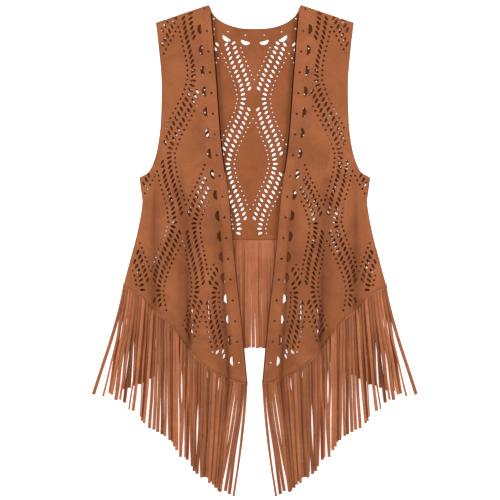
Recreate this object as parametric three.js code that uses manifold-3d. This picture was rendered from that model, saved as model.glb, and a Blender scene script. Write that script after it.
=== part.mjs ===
import * as THREE from 'three';
import { mergeGeometries, mergeVertices } from 'three/addons/utils/BufferGeometryUtils.js';
import Module from 'manifold-3d';

// A sleeveless open suede vest with cut-out bands and long fringe, laid flat with its fronts on its back.
// Millimetres. X runs across the garment, Y from hem to shoulder, Z up from the surface it lies on.
// Places are given as half widths, the distance from the centre line, because the two sides mirror.

// Driving sizes
const SUEDE = 1.2;
const FRONT_WALL = 1.5;
const SEAM_GAP = 0.3;
const FRONT_REST = SUEDE + SEAM_GAP;
const HEM_GAP = 0.7;
const STRIP_DEPTH = 11;
const FRINGE_LENGTH = 194.4;
const BACK_STRAND_WALL = 1;
const BACK_STRAND_FLOOR = 0.2;

// Outline of one side, from the shoulder down the armhole and the side seam
const SHOULDER_OUT = { half: 183, y: 420 };
const SHOULDER_NECK = { half: 85.5, y: 453 };
const ARMPIT_Y = 133.5;
const SIDE_END_Y = -69;
const EDGE_END_Y = -247;
const ARMHOLE = [
  { y: 420, half: 183 },
  { y: 372, half: 177.5 },
  { y: 323, half: 173 },
  { y: 277, half: 172.5 },
  { y: 227, half: 174.5 },
  { y: 193, half: 179 },
  { y: 173, half: 183.5 },
  { y: 153, half: 191 },
  { y: 141.5, half: 199 },
  { y: 133.5, half: 213.5 },
];
const SIDE_SEAM = [
  { y: 133.5, half: 213.5 },
  { y: 110.5, half: 210.5 },
  { y: 86, half: 208 },
  { y: 33, half: 217 },
  { y: -17, half: 230 },
  { y: -69, half: 244 },
];
const FRONT_EDGE = [
  { y: 453, half: 85.5 },
  { y: 442, half: 80 },
  { y: 336, half: 71 },
  { y: 193, half: 60 },
  { y: 100, half: 47.5 },
  { y: -8, half: 37.5 },
  { y: -130, half: 24 },
  { y: -247, half: 13.3 },
];
const FRONT_HEM = [
  { half: 244, y: -69 },
  { half: 222, y: -77 },
  { half: 203, y: -91 },
  { half: 183, y: -113 },
  { half: 162, y: -130 },
  { half: 146, y: -147 },
  { half: 125, y: -176 },
  { half: 107, y: -199 },
  { half: 91, y: -212 },
  { half: 72, y: -225 },
  { half: 46, y: -238 },
  { half: 13.3, y: -247 },
];
const BACK_HEM = [
  { half: 0, y: 18 },
  { half: 55, y: 17 },
  { half: 110, y: 4 },
  { half: 180, y: -31 },
  { half: 244, y: -69 },
];
const BACK_NECK = [
  { half: 0, y: 408.5 },
  { half: 27, y: 410 },
  { half: 54, y: 418 },
  { half: 72, y: 430 },
  { half: 80.5, y: 442 },
  { half: 85.5, y: 453 },
];

// Folds of a front: troughs that run down from the chest, and the ridges that stand between them
const TROUGHS = [
  { topHalf: 184.5, bottomHalf: 182 },
  { topHalf: 130, bottomHalf: 121 },
  { topHalf: 69.5, bottomHalf: 51 },
];
const TROUGH_TOP_Y = 147;
const TROUGH_BOTTOM_Y = -200;
const RIDGES = [
  { height: 6, startY: 150 },
  { height: 12, startY: 175 },
  { height: 11, startY: 150 },
  { height: 4.5, startY: 120 },
];
const RIDGE_BREADTH = 3.2;
const RIDGE_GROWTH = 1.15;
const FRONT_LIFT = 3.5;
const SHOULDER_REACH = 70;
const SIDE_REACH = 40;

// Cut-out lattice: rings of slots around cells that lie in staggered rows
const BACK_ROW_ONE_Y = 407.5;
const BACK_ROW_PITCH = 127.3;
const BACK_COLUMN_PITCH = 61;
const FRONT_LATTICE = [
  { row: -1, half: 122, pitch: 59, y: 579, drop: 5 },
  { row: 0, half: 139.5, pitch: 59, y: 447, drop: 5 },
  { row: 1, half: 157.5, pitch: 58.5, y: 318, drop: 7 },
  { row: 2, half: 176.5, pitch: 57.5, y: 181, drop: 4.5 },
  { row: 3, half: 190.5, pitch: 60.5, y: 53, drop: 3.5 },
  { row: 4, half: 192, pitch: 50.5, y: -74.5, drop: 2 },
  { row: 5, half: 192, pitch: 46.5, y: -209.5, drop: 2 },
  { row: 6, half: 192, pitch: 46.5, y: -341, drop: 2 },
];
const BACK_TURN = 0.68;
const FRONT_TURN = 0.7;
const RING_NARROW = 0.15;
const RING_LENGTH = 0.84;
const RING_TAPER = 0.826;
const SLOTS_EACH_SIDE = 26;
const BACK_SLOT_STEP = 5;
const FRONT_SLOT_STEP = 3;
const SLOT_LENGTH = 9;
const SLOT_WIDTH = 4.6;
const BORDER = 36;
const EDGE_MARGIN = 9;

// Half-moon cut-outs along the front edges and the back of the neck
const MOON_LENGTH = 16;
const MOON_WIDTH = 6.5;
const MOON_INSET = 26;
const MOON_COUNT = 17;
const MOON_FIRST_Y = 408.5;
const MOON_PITCH = 38.25;
const MOON_ARC_STEPS = 4;
const NECK_MOON_HALVES = [17.5, 55];

// Fringe: how far each strand's tip swings outward from its root
const FRONT_STRANDS = 40;
const BACK_STRANDS = 73;
const STRAND_SPLIT = 0.9;
const STRAND_WIDTH = 5.2;
const FRONT_SWING = [
  { half: 244, out: 58 },
  { half: 232, out: 28 },
  { half: 220, out: 3 },
  { half: 195, out: 0 },
  { half: 125, out: 0 },
  { half: 85, out: 6 },
  { half: 46, out: 15 },
  { half: 13.3, out: 17 },
];
const BACK_SWING = [
  { half: 0, out: 0 },
  { half: 205, out: 2 },
  { half: 225, out: 12 },
  { half: 244, out: 34 },
];
const TIP_UNEVEN = 5;
const UNEVEN_STEP = 2.4;
const UNEVEN_WANDER = 1.7;
const SWING_BEND = 1.2;
const FALL_BEND = 2;

const LATTICE_ROWS = [-1, 0, 1, 2, 3, 4, 5, 6];
const LATTICE_COLUMNS = [-4, -3, -2, -1, 0, 1, 2, 3, 4];
const ARMPIT_SHARE = 0.5;
const COLUMNS_PER_RIDGE = 4;
const LEAST_SHARE = 0.1;
const CROSSING_PASSES = 6;
const OUTLINE_STEPS = 24;
const FRONT_STRAND_STEPS = 3;
const BACK_STRAND_STEPS = 1;
const CUTTER_TOP = 40;

const SUEDE_COLOUR = 0xa86642;
const FRINGE_COLOUR = 0xa06745;
const BACK_COLOUR = 0x9c5c3c;

// Smooth curve through a short table, read from one column to another
function curveThrough(rows, fromColumn, toColumn) {
  const sorted = [...rows].sort((first, second) => first[fromColumn] - second[fromColumn]);
  const at = sorted.map((row) => row[fromColumn]);
  const value = sorted.map((row) => row[toColumn]);
  const last = at.length - 1;
  const slope = at.map((place, i) => {
    const before = Math.max(i - 1, 0);
    const after = Math.min(i + 1, last);
    return (value[after] - value[before]) / (at[after] - at[before]);
  });
  return (place) => {
    const inside = THREE.MathUtils.clamp(place, at[0], at[last]);
    let i = 0;
    while (i < last - 1 && inside > at[i + 1]) {
      i += 1;
    }
    const span = at[i + 1] - at[i];
    const t = (inside - at[i]) / span;
    const fromStart = (1 - t) * (1 - t);
    const fromEnd = t * t;
    const startPart = fromStart * ((1 + 2 * t) * value[i] + t * span * slope[i]);
    const endPart = fromEnd * ((3 - 2 * t) * value[i + 1] - (1 - t) * span * slope[i + 1]);
    return startPart + endPart;
  };
}

const armholeHalf = curveThrough(ARMHOLE, 'y', 'half');
const sideSeamHalf = curveThrough(SIDE_SEAM, 'y', 'half');
const edgeHalf = curveThrough(FRONT_EDGE, 'y', 'half');
const frontHemY = curveThrough(FRONT_HEM, 'half', 'y');
const backHemY = curveThrough(BACK_HEM, 'half', 'y');
const backNeckY = curveThrough(BACK_NECK, 'half', 'y');
const frontSwing = curveThrough(FRONT_SWING, 'half', 'out');
const backSwing = curveThrough(BACK_SWING, 'half', 'out');

function outerHalf(y) {
  return y > ARMPIT_Y ? armholeHalf(y) : sideSeamHalf(y);
}

function shoulderY(half) {
  const across = (half - SHOULDER_NECK.half) / (SHOULDER_OUT.half - SHOULDER_NECK.half);
  return THREE.MathUtils.lerp(SHOULDER_NECK.y, SHOULDER_OUT.y, across);
}

function troughHalf(trough, y) {
  const down = (TROUGH_TOP_Y - y) / (TROUGH_TOP_Y - TROUGH_BOTTOM_Y);
  return THREE.MathUtils.lerp(trough.topHalf, trough.bottomHalf, down);
}

// Half widths of the lines that part the ridges at one height, from the side in to the front edge
function foldLines(y) {
  return [outerHalf(y), ...TROUGHS.map((trough) => troughHalf(trough, y)), edgeHalf(y)];
}

// Height of a front's underside above the surface: it touches down at its seams and rides up on its folds
function frontHeight(half, y) {
  const lines = foldLines(y);
  const belowShoulder = THREE.MathUtils.smoothstep(shoulderY(half) - y, 0, SHOULDER_REACH);
  const inFromSide = THREE.MathUtils.smoothstep(lines[0] - half, 0, SIDE_REACH);
  const lift = FRONT_LIFT * belowShoulder * inFromSide;
  let segment = 0;
  while (segment < RIDGES.length - 1 && half < lines[segment + 1]) {
    segment += 1;
  }
  const across = (lines[segment] - half) / (lines[segment] - lines[segment + 1]);
  const crest = 1 - Math.abs(Math.cos(Math.PI * THREE.MathUtils.clamp(across, 0, 1))) ** RIDGE_BREADTH;
  const ridge = RIDGES[segment];
  const grown = THREE.MathUtils.clamp((ridge.startY - y) / (ridge.startY - EDGE_END_Y), 0, 1);
  return FRONT_REST + lift + ridge.height * crest * grown ** RIDGE_GROWTH;
}

// Closed wall of even upright thickness over a patch of quads that is given in plan
function wallOverPlan(points, quads, thickness) {
  const cross = (a, b, c) => (b.x - a.x) * (c.y - a.y) - (b.y - a.y) * (c.x - a.x);
  const turned = quads.map((quad) => {
    const [a, b, c, d] = quad.map((i) => points[i]);
    return cross(a, b, c) + cross(a, c, d) > 0 ? quad : [...quad].reverse();
  });
  const under = points.length;
  const position = [];
  points.forEach((point) => position.push(point.x, point.y, point.z + thickness));
  points.forEach((point) => position.push(point.x, point.y, point.z));
  const index = [];
  const edges = new Set();
  turned.forEach(([a, b, c, d]) => {
    index.push(a, b, c, a, c, d);
    index.push(under + a, under + c, under + b, under + a, under + d, under + c);
    [[a, b], [b, c], [c, d], [d, a]].forEach(([from, to]) => edges.add(`${from} ${to}`));
  });
  edges.forEach((edge) => {
    const [from, to] = edge.split(' ').map(Number);
    if (!edges.has(`${to} ${from}`)) {
      index.push(under + from, under + to, to, under + from, to, from);
    }
  });
  const geometry = new THREE.BufferGeometry();
  geometry.setAttribute('position', new THREE.Float32BufferAttribute(position, 3));
  geometry.setIndex(index);
  return geometry;
}

// Places of the lattice's rows and columns on the back and on a front
function backLattice(row, column) {
  return { half: column * BACK_COLUMN_PITCH, y: BACK_ROW_ONE_Y - (row - 1) * BACK_ROW_PITCH };
}

const latticeHalf = curveThrough(FRONT_LATTICE, 'row', 'half');
const latticePitch = curveThrough(FRONT_LATTICE, 'row', 'pitch');
const latticeY = curveThrough(FRONT_LATTICE, 'row', 'y');
const latticeDrop = curveThrough(FRONT_LATTICE, 'row', 'drop');

function frontLattice(row, column) {
  return {
    half: latticeHalf(row) - column * latticePitch(row),
    y: latticeY(row) - column * latticeDrop(row),
  };
}

// Slots of one ring: each leans twice as far as the ring's path does there
function ringSlots(lattice, cell, turn, step) {
  const width = (along) => {
    const swell = 0.5 + 0.5 * Math.cos(Math.PI * Math.min(1, Math.abs(along) / RING_TAPER));
    return RING_NARROW + (turn - RING_NARROW) * swell;
  };
  const probe = RING_LENGTH / SLOTS_EACH_SIDE;
  const slots = [];
  [-1, 1].forEach((side) => {
    for (let i = 0; i < SLOTS_EACH_SIDE; i += step) {
      const along = RING_LENGTH * ((2 * i) / (SLOTS_EACH_SIDE - 1) - 1);
      const at = lattice(cell.row + along, cell.column + side * width(along));
      const next = lattice(cell.row + along + probe, cell.column + side * width(along + probe));
      const lean = Math.atan2(next.half - at.half, at.y - next.y);
      slots.push({ half: at.half, y: at.y, angle: 2 * lean });
    }
  });
  return slots;
}

function latticeSlots(lattice, turn, step, isOnPanel) {
  const slots = [];
  LATTICE_ROWS.forEach((row) => {
    LATTICE_COLUMNS.forEach((column) => {
      if ((row + column) % 2 !== 0) {
        slots.push(...ringSlots(lattice, { row, column }, turn, step));
      }
    });
  });
  return slots.filter((slot) => isOnPanel(slot.half, slot.y));
}

function isOnFront(half, y) {
  return half > edgeHalf(y) + BORDER
    && half < outerHalf(y) - EDGE_MARGIN
    && y < shoulderY(half) - EDGE_MARGIN
    && y > frontHemY(half) + EDGE_MARGIN;
}

function isOnBack(half, y) {
  const out = Math.abs(half);
  const top = out > SHOULDER_NECK.half + BORDER ? shoulderY(out) - EDGE_MARGIN : backNeckY(out) - BORDER;
  return out < outerHalf(y) - EDGE_MARGIN
    && y < top
    && y > backHemY(out) + EDGE_MARGIN;
}

// Corners of a slot, a lozenge that is longest along its own axis
function slotCorners({ half, y, angle }) {
  const along = { x: Math.cos(angle) * SLOT_LENGTH / 2, y: Math.sin(angle) * SLOT_LENGTH / 2 };
  const across = { x: -Math.sin(angle) * SLOT_WIDTH / 2, y: Math.cos(angle) * SLOT_WIDTH / 2 };
  return [
    new THREE.Vector2(half + along.x, y + along.y),
    new THREE.Vector2(half + across.x, y + across.y),
    new THREE.Vector2(half - along.x, y - along.y),
    new THREE.Vector2(half - across.x, y - across.y),
  ];
}

// Corners of a half-moon: a straight side along the given direction, and an arc to its left
function moonCorners({ half, y, direction }) {
  const corners = [];
  for (let i = 0; i <= MOON_ARC_STEPS + 1; i += 1) {
    const turn = Math.PI * i / (MOON_ARC_STEPS + 1);
    const along = Math.cos(turn) * MOON_LENGTH / 2;
    const out = (Math.sin(turn) - 0.5) * MOON_WIDTH;
    corners.push(new THREE.Vector2(
      half + along * Math.cos(direction) - out * Math.sin(direction),
      y + along * Math.sin(direction) + out * Math.cos(direction),
    ));
  }
  return corners;
}

function frontMoons() {
  const moons = [];
  for (let i = 0; i < MOON_COUNT; i += 1) {
    const y = MOON_FIRST_Y - i * MOON_PITCH;
    const lean = Math.atan2(edgeHalf(y + MOON_LENGTH) - edgeHalf(y - MOON_LENGTH), 2 * MOON_LENGTH);
    moons.push({ half: edgeHalf(y) + MOON_INSET, y, direction: -Math.PI / 2 - lean });
  }
  return moons;
}

function neckMoons() {
  const moons = [];
  NECK_MOON_HALVES.forEach((half) => {
    const rise = (backNeckY(half + MOON_LENGTH / 2) - backNeckY(half - MOON_LENGTH / 2)) / MOON_LENGTH;
    const slope = Math.atan(rise);
    const inset = half + MOON_INSET * Math.sin(slope);
    const y = backNeckY(half) - MOON_INSET * Math.cos(slope);
    moons.push({ half: inset, y, direction: Math.PI + slope });
    moons.push({ half: -inset, y, direction: Math.PI - slope });
  });
  return moons;
}

const wasm = await Module();
wasm.setup();

function toSolid(geometry) {
  const bare = geometry.clone();
  bare.deleteAttribute('normal');
  bare.deleteAttribute('uv');
  const merged = mergeVertices(bare);
  return new wasm.Manifold(new wasm.Mesh({
    numProp: 3,
    vertProperties: new Float32Array(merged.attributes.position.array),
    triVerts: new Uint32Array(merged.index.array),
  }));
}

function toGeometry(solid) {
  const mesh = solid.getMesh();
  const geometry = new THREE.BufferGeometry();
  geometry.setAttribute('position', new THREE.Float32BufferAttribute(mesh.vertProperties, 3));
  geometry.setIndex([...mesh.triVerts]);
  return geometry;
}

// Back panel: one flat sheet with its cut-outs, resting on the surface
function backPanelGeometry() {
  const side = [];
  ARMHOLE.forEach((row) => side.push(new THREE.Vector2(row.half, row.y)));
  SIDE_SEAM.slice(1).forEach((row, i) => {
    const middleY = (SIDE_SEAM[i].y + row.y) / 2;
    side.push(new THREE.Vector2(sideSeamHalf(middleY), middleY));
    side.push(new THREE.Vector2(row.half, row.y));
  });
  const neck = [];
  const hem = [];
  for (let i = 0; i < OUTLINE_STEPS; i += 1) {
    const neckHalf = SHOULDER_NECK.half * Math.sin(Math.PI * i / (2 * OUTLINE_STEPS));
    neck.push(new THREE.Vector2(neckHalf, backNeckY(neckHalf)));
    const hemHalf = SIDE_SEAM.at(-1).half * (1 - (i + 1) / OUTLINE_STEPS);
    hem.push(new THREE.Vector2(hemHalf, backHemY(hemHalf)));
  }
  neck.push(new THREE.Vector2(SHOULDER_NECK.half, SHOULDER_NECK.y));
  const right = [...neck, ...side, ...hem];
  const left = right.slice(1, -1).reverse().map((point) => new THREE.Vector2(-point.x, point.y));
  const shape = new THREE.Shape([...right, ...left]);
  const slots = latticeSlots(backLattice, BACK_TURN, BACK_SLOT_STEP, isOnBack).map(slotCorners);
  [...slots, ...neckMoons().map(moonCorners)].forEach((corners) => {
    shape.holes.push(new THREE.Path(corners));
  });
  return new THREE.ExtrudeGeometry(shape, { depth: SUEDE, bevelEnabled: false });
}

// Share of a row's width at which a fold line crosses it
function foldCrossing(left, right, lineAt) {
  let across = 0.5;
  for (let pass = 0; pass < CROSSING_PASSES; pass += 1) {
    const y = THREE.MathUtils.lerp(left.y, right.y, across);
    across = (left.half - lineAt(y)) / (left.half - right.half);
  }
  return across;
}

// One row of a front's net: points from the side to the front edge, closest together at the troughs
function frontRow(left, right, down) {
  const crossings = TROUGHS.map((trough) => foldCrossing(left, right, (y) => troughHalf(trough, y)));
  const stops = [0, ...crossings.map((share) => THREE.MathUtils.clamp(share, LEAST_SHARE, 1 - LEAST_SHARE)), 1];
  const row = [];
  const add = (across) => {
    const half = THREE.MathUtils.lerp(left.half, right.half, across);
    const straightY = THREE.MathUtils.lerp(left.y, right.y, across);
    const hemChord = THREE.MathUtils.lerp(SIDE_END_Y, EDGE_END_Y, across);
    const hemHalf = THREE.MathUtils.lerp(FRONT_HEM[0].half, FRONT_HEM.at(-1).half, across);
    row.push({ half, y: straightY + down * down * (frontHemY(hemHalf) - hemChord) });
  };
  for (let segment = 0; segment < stops.length - 1; segment += 1) {
    for (let i = 0; i < COLUMNS_PER_RIDGE; i += 1) {
      add(THREE.MathUtils.lerp(stops[segment], stops[segment + 1], i / COLUMNS_PER_RIDGE));
    }
  }
  add(1);
  return row;
}

function frontNet() {
  const lefts = ARMHOLE.map((row) => {
    const fromShoulder = (SHOULDER_OUT.y - row.y) / (SHOULDER_OUT.y - ARMPIT_Y);
    return { ...row, down: ARMPIT_SHARE * fromShoulder };
  });
  SIDE_SEAM.slice(1).forEach((row, i) => {
    [(SIDE_SEAM[i].y + row.y) / 2, row.y].forEach((y) => {
      const fromArmpit = (ARMPIT_Y - y) / (ARMPIT_Y - SIDE_END_Y);
      lefts.push({ y, half: sideSeamHalf(y), down: ARMPIT_SHARE + (1 - ARMPIT_SHARE) * fromArmpit });
    });
  });
  return lefts.map((left) => {
    const y = THREE.MathUtils.lerp(SHOULDER_NECK.y, EDGE_END_Y, left.down);
    return frontRow(left, { y, half: edgeHalf(y) }, left.down);
  });
}

// Front panel: a folded wall, cut by its slots and half-moons
function frontPanelGeometry(side) {
  const net = frontNet();
  const columns = net[0].length;
  const points = net.flat().map(({ half, y }) => ({ x: side * half, y, z: frontHeight(half, y) }));
  const quads = [];
  for (let row = 0; row < net.length - 1; row += 1) {
    for (let column = 0; column < columns - 1; column += 1) {
      const corner = row * columns + column;
      quads.push([corner, corner + 1, corner + columns + 1, corner + columns]);
    }
  }
  const wall = toSolid(wallOverPlan(points, quads, FRONT_WALL));
  const slots = latticeSlots(frontLattice, FRONT_TURN, FRONT_SLOT_STEP, isOnFront).map(slotCorners);
  const cutters = [...slots, ...frontMoons().map(moonCorners)].map((corners) => {
    const mirrored = corners.map((corner) => new THREE.Vector2(side * corner.x, corner.y));
    return new THREE.ExtrudeGeometry(new THREE.Shape(mirrored), { depth: CUTTER_TOP, bevelEnabled: false });
  });
  return toGeometry(wall.subtract(toSolid(mergeGeometries(cutters))));
}

// Fringe: a strip along the hem, and strands whose roots it joins. Each strand has two long edges,
// and each edge is a chain of points from the strip to the tip.
function fringeGeometry({ roots, hemY, swing, steps, thickness, heightAt }) {
  const points = [];
  const quads = [];
  const addPoint = (half, y, z) => points.push({ x: half, y, z }) - 1;
  let previous = null;
  roots.forEach(({ from, to, turn }) => {
    const length = FRINGE_LENGTH + TIP_UNEVEN * Math.sin(turn);
    const edges = [from, to].map((half) => {
      const topY = hemY(Math.abs(half)) - HEM_GAP;
      const rootY = topY - STRIP_DEPTH;
      const rootZ = heightAt(half, 0);
      return { half, rootY, top: addPoint(half, topY, rootZ), chain: [addPoint(half, rootY, rootZ)] };
    });
    const middle = (from + to) / 2;
    const swung = [from, to].map((half) => half + Math.sign(middle) * swing(Math.abs(half)));
    const tipWidth = Math.min(STRAND_WIDTH, Math.abs(swung[1] - swung[0]));
    const tipMiddle = (swung[0] + swung[1]) / 2;
    edges.forEach((edge, which) => {
      const tip = tipMiddle + (which - 0.5) * tipWidth * Math.sign(to - from);
      for (let step = 1; step <= steps; step += 1) {
        const along = step / steps;
        const half = THREE.MathUtils.lerp(edge.half, tip, along ** SWING_BEND);
        edge.chain.push(addPoint(half, edge.rootY - length * along, heightAt(edge.half, along)));
      }
    });
    const [first, second] = edges;
    quads.push([first.top, second.top, second.chain[0], first.chain[0]]);
    for (let step = 0; step < steps; step += 1) {
      quads.push([first.chain[step], second.chain[step], second.chain[step + 1], first.chain[step + 1]]);
    }
    if (previous) {
      quads.push([previous.top, first.top, first.chain[0], previous.chain[0]]);
    }
    previous = second;
  });
  return wallOverPlan(points, quads, thickness);
}

function strandRoots(start, end, count) {
  const pitch = (end - start) / count;
  const roots = [];
  for (let i = 0; i < count; i += 1) {
    const trim = (1 - STRAND_SPLIT) / 2;
    const turn = UNEVEN_STEP * i + Math.sin(UNEVEN_WANDER * i);
    roots.push({ from: start + (i + trim) * pitch, to: start + (i + 1 - trim) * pitch, turn });
  }
  return roots;
}

function frontFringeGeometry(side) {
  const geometry = fringeGeometry({
    roots: strandRoots(FRONT_EDGE.at(-1).half, FRONT_HEM[0].half, FRONT_STRANDS),
    hemY: frontHemY,
    swing: frontSwing,
    steps: FRONT_STRAND_STEPS,
    thickness: FRONT_WALL,
    heightAt: (half, along) => {
      const root = frontHeight(half, frontHemY(half)) - FRONT_REST;
      return FRONT_REST + root * (1 - along) ** FALL_BEND;
    },
  });
  return side > 0 ? geometry : mirrorAcross(geometry);
}

function mirrorAcross(geometry) {
  const mirrored = geometry.clone();
  mirrored.scale(-1, 1, 1);
  const index = [...mirrored.index.array];
  for (let i = 0; i < index.length; i += 3) {
    [index[i], index[i + 1]] = [index[i + 1], index[i]];
  }
  mirrored.setIndex(index);
  return mirrored;
}

function backFringeGeometry() {
  const end = BACK_HEM.at(-1).half;
  return fringeGeometry({
    roots: strandRoots(-end, end, BACK_STRANDS),
    hemY: backHemY,
    swing: backSwing,
    steps: BACK_STRAND_STEPS,
    thickness: BACK_STRAND_WALL,
    heightAt: () => BACK_STRAND_FLOOR,
  });
}

function suedePiece(name, geometry, colour) {
  const material = new THREE.MeshStandardMaterial({ color: colour, roughness: 0.92, metalness: 0 });
  const mesh = new THREE.Mesh(geometry, material);
  mesh.name = name;
  return mesh;
}

const vest = new THREE.Group();
vest.name = 'western_vest';
vest.add(suedePiece('back_panel', backPanelGeometry(), BACK_COLOUR));
vest.add(suedePiece('back_fringe', backFringeGeometry(), FRINGE_COLOUR));
vest.add(suedePiece('front_panel_left', frontPanelGeometry(-1), SUEDE_COLOUR));
vest.add(suedePiece('front_panel_right', frontPanelGeometry(1), SUEDE_COLOUR));
vest.add(suedePiece('front_fringe_left', frontFringeGeometry(-1), FRINGE_COLOUR));
vest.add(suedePiece('front_fringe_right', frontFringeGeometry(1), FRINGE_COLOUR));

export default vest;
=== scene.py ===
"""Visible surfaces of a sleeveless suede western vest, laid flat with its fronts on its back.

Lengths are metres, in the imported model's frame: X across, Y from hem to shoulder, Z up.
Places on the garment are half widths, the distance from the centre line, because the sides mirror.
"""

import logging
import math
from collections.abc import Callable, Sequence
from dataclasses import dataclass
from enum import Enum, IntEnum

import bpy
import numpy as np
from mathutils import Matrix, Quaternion, Vector


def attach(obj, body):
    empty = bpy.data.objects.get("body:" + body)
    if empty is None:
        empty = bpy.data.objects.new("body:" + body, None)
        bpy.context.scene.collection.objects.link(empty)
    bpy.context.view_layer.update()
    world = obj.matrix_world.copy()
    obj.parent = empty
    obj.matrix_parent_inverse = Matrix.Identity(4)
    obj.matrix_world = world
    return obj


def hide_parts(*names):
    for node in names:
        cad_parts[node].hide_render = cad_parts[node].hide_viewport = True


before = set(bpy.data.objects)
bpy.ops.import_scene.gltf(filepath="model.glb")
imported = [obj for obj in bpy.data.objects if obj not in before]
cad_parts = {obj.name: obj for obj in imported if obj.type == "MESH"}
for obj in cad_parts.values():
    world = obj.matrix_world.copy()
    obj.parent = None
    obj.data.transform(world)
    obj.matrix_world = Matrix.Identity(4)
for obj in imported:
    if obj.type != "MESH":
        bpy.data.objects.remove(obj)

BODY = "root"
TONE_AND_PAINTED_SHADE = "nap_tone"
SLOPE_STEP = 0.003
OVAL_POINTS = 12
DOT_POINTS = 10
MOON_POINTS = 12
MOON_BACK_SHARE = 0.45
THREAD_SIDES = 6
SHARP_CUT = math.radians(35)
SHARP_STRAND = math.radians(50)
Colour = tuple[float, float, float]
log = logging.getLogger("vest")


class Side(IntEnum):
    """Which front a piece belongs to, as the sign of its X."""

    LEFT = -1
    RIGHT = 1

    @property
    def word(self) -> str:
        """Return the side's name as it stands in a node's name."""
        return self.name.lower()


class HoleKind(IntEnum):
    """Shape of a cut-out."""

    SLOT = 0
    DOT = 1
    MOON = 2


class SuedeSlot(Enum):
    """Which suede part a piece belongs to."""

    FRONT = "suede_front"
    BACK = "suede_back"
    FRINGE = "suede_fringe"


class SmoothCurve:
    """Smooth curve through a few points, read at one place or at an array of places."""

    def __init__(self, points: Sequence[tuple[float, float]]) -> None:
        """Keep the points in order and find the slope at each.

        Args:
            points: Pairs of place and value.
        """
        ordered = sorted(points)
        self.at = np.array([place for place, _ in ordered])
        self.value = np.array([value for _, value in ordered])
        index = np.arange(len(ordered))
        before = np.maximum(index - 1, 0)
        after = np.minimum(index + 1, len(ordered) - 1)
        self.slope = (self.value[after] - self.value[before]) / (self.at[after] - self.at[before])

    def __call__(self, place: np.ndarray | float) -> np.ndarray:
        """Read the curve, which stays level beyond its ends.

        Args:
            place: Where to read it.

        Returns:
            The values there.
        """
        inside = np.clip(place, self.at[0], self.at[-1])
        i = np.clip(np.searchsorted(self.at, inside) - 1, 0, len(self.at) - 2)
        span = self.at[i + 1] - self.at[i]
        t = (inside - self.at[i]) / span
        start = (1 - t) ** 2 * ((1 + 2 * t) * self.value[i] + t * span * self.slope[i])
        end = t**2 * ((3 - 2 * t) * self.value[i + 1] - (1 - t) * span * self.slope[i + 1])
        return start + end


def rise(distance: np.ndarray | float, reach: float) -> np.ndarray:
    """Return a share that eases from 0 to 1 over a distance, and is 1 beyond its reach."""
    t = np.clip(np.asarray(distance) / reach, 0, 1)
    return t * t * (3 - 2 * t)


def mix(start: np.ndarray | float, end: np.ndarray | float, share: np.ndarray | float) -> np.ndarray:
    """Return the value that lies the given share of the way from start to end."""
    return start + (end - start) * share


def linear(red: int, green: int, blue: int) -> Colour:
    """Return a screen colour from 0 to 255 as a linear one from 0 to 1."""
    shares = (part / 255 for part in (red, green, blue))
    return tuple(s / 12.92 if s <= 0.04045 else ((s + 0.055) / 1.055) ** 2.4 for s in shares)


@dataclass(frozen=True)
class Ridge:
    """One raised fold of a front, between two troughs."""

    height: float
    start_y: float


@dataclass(frozen=True)
class Trough:
    """One low line of a front, from the chest to the hem."""

    top_half: float
    bottom_half: float


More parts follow.
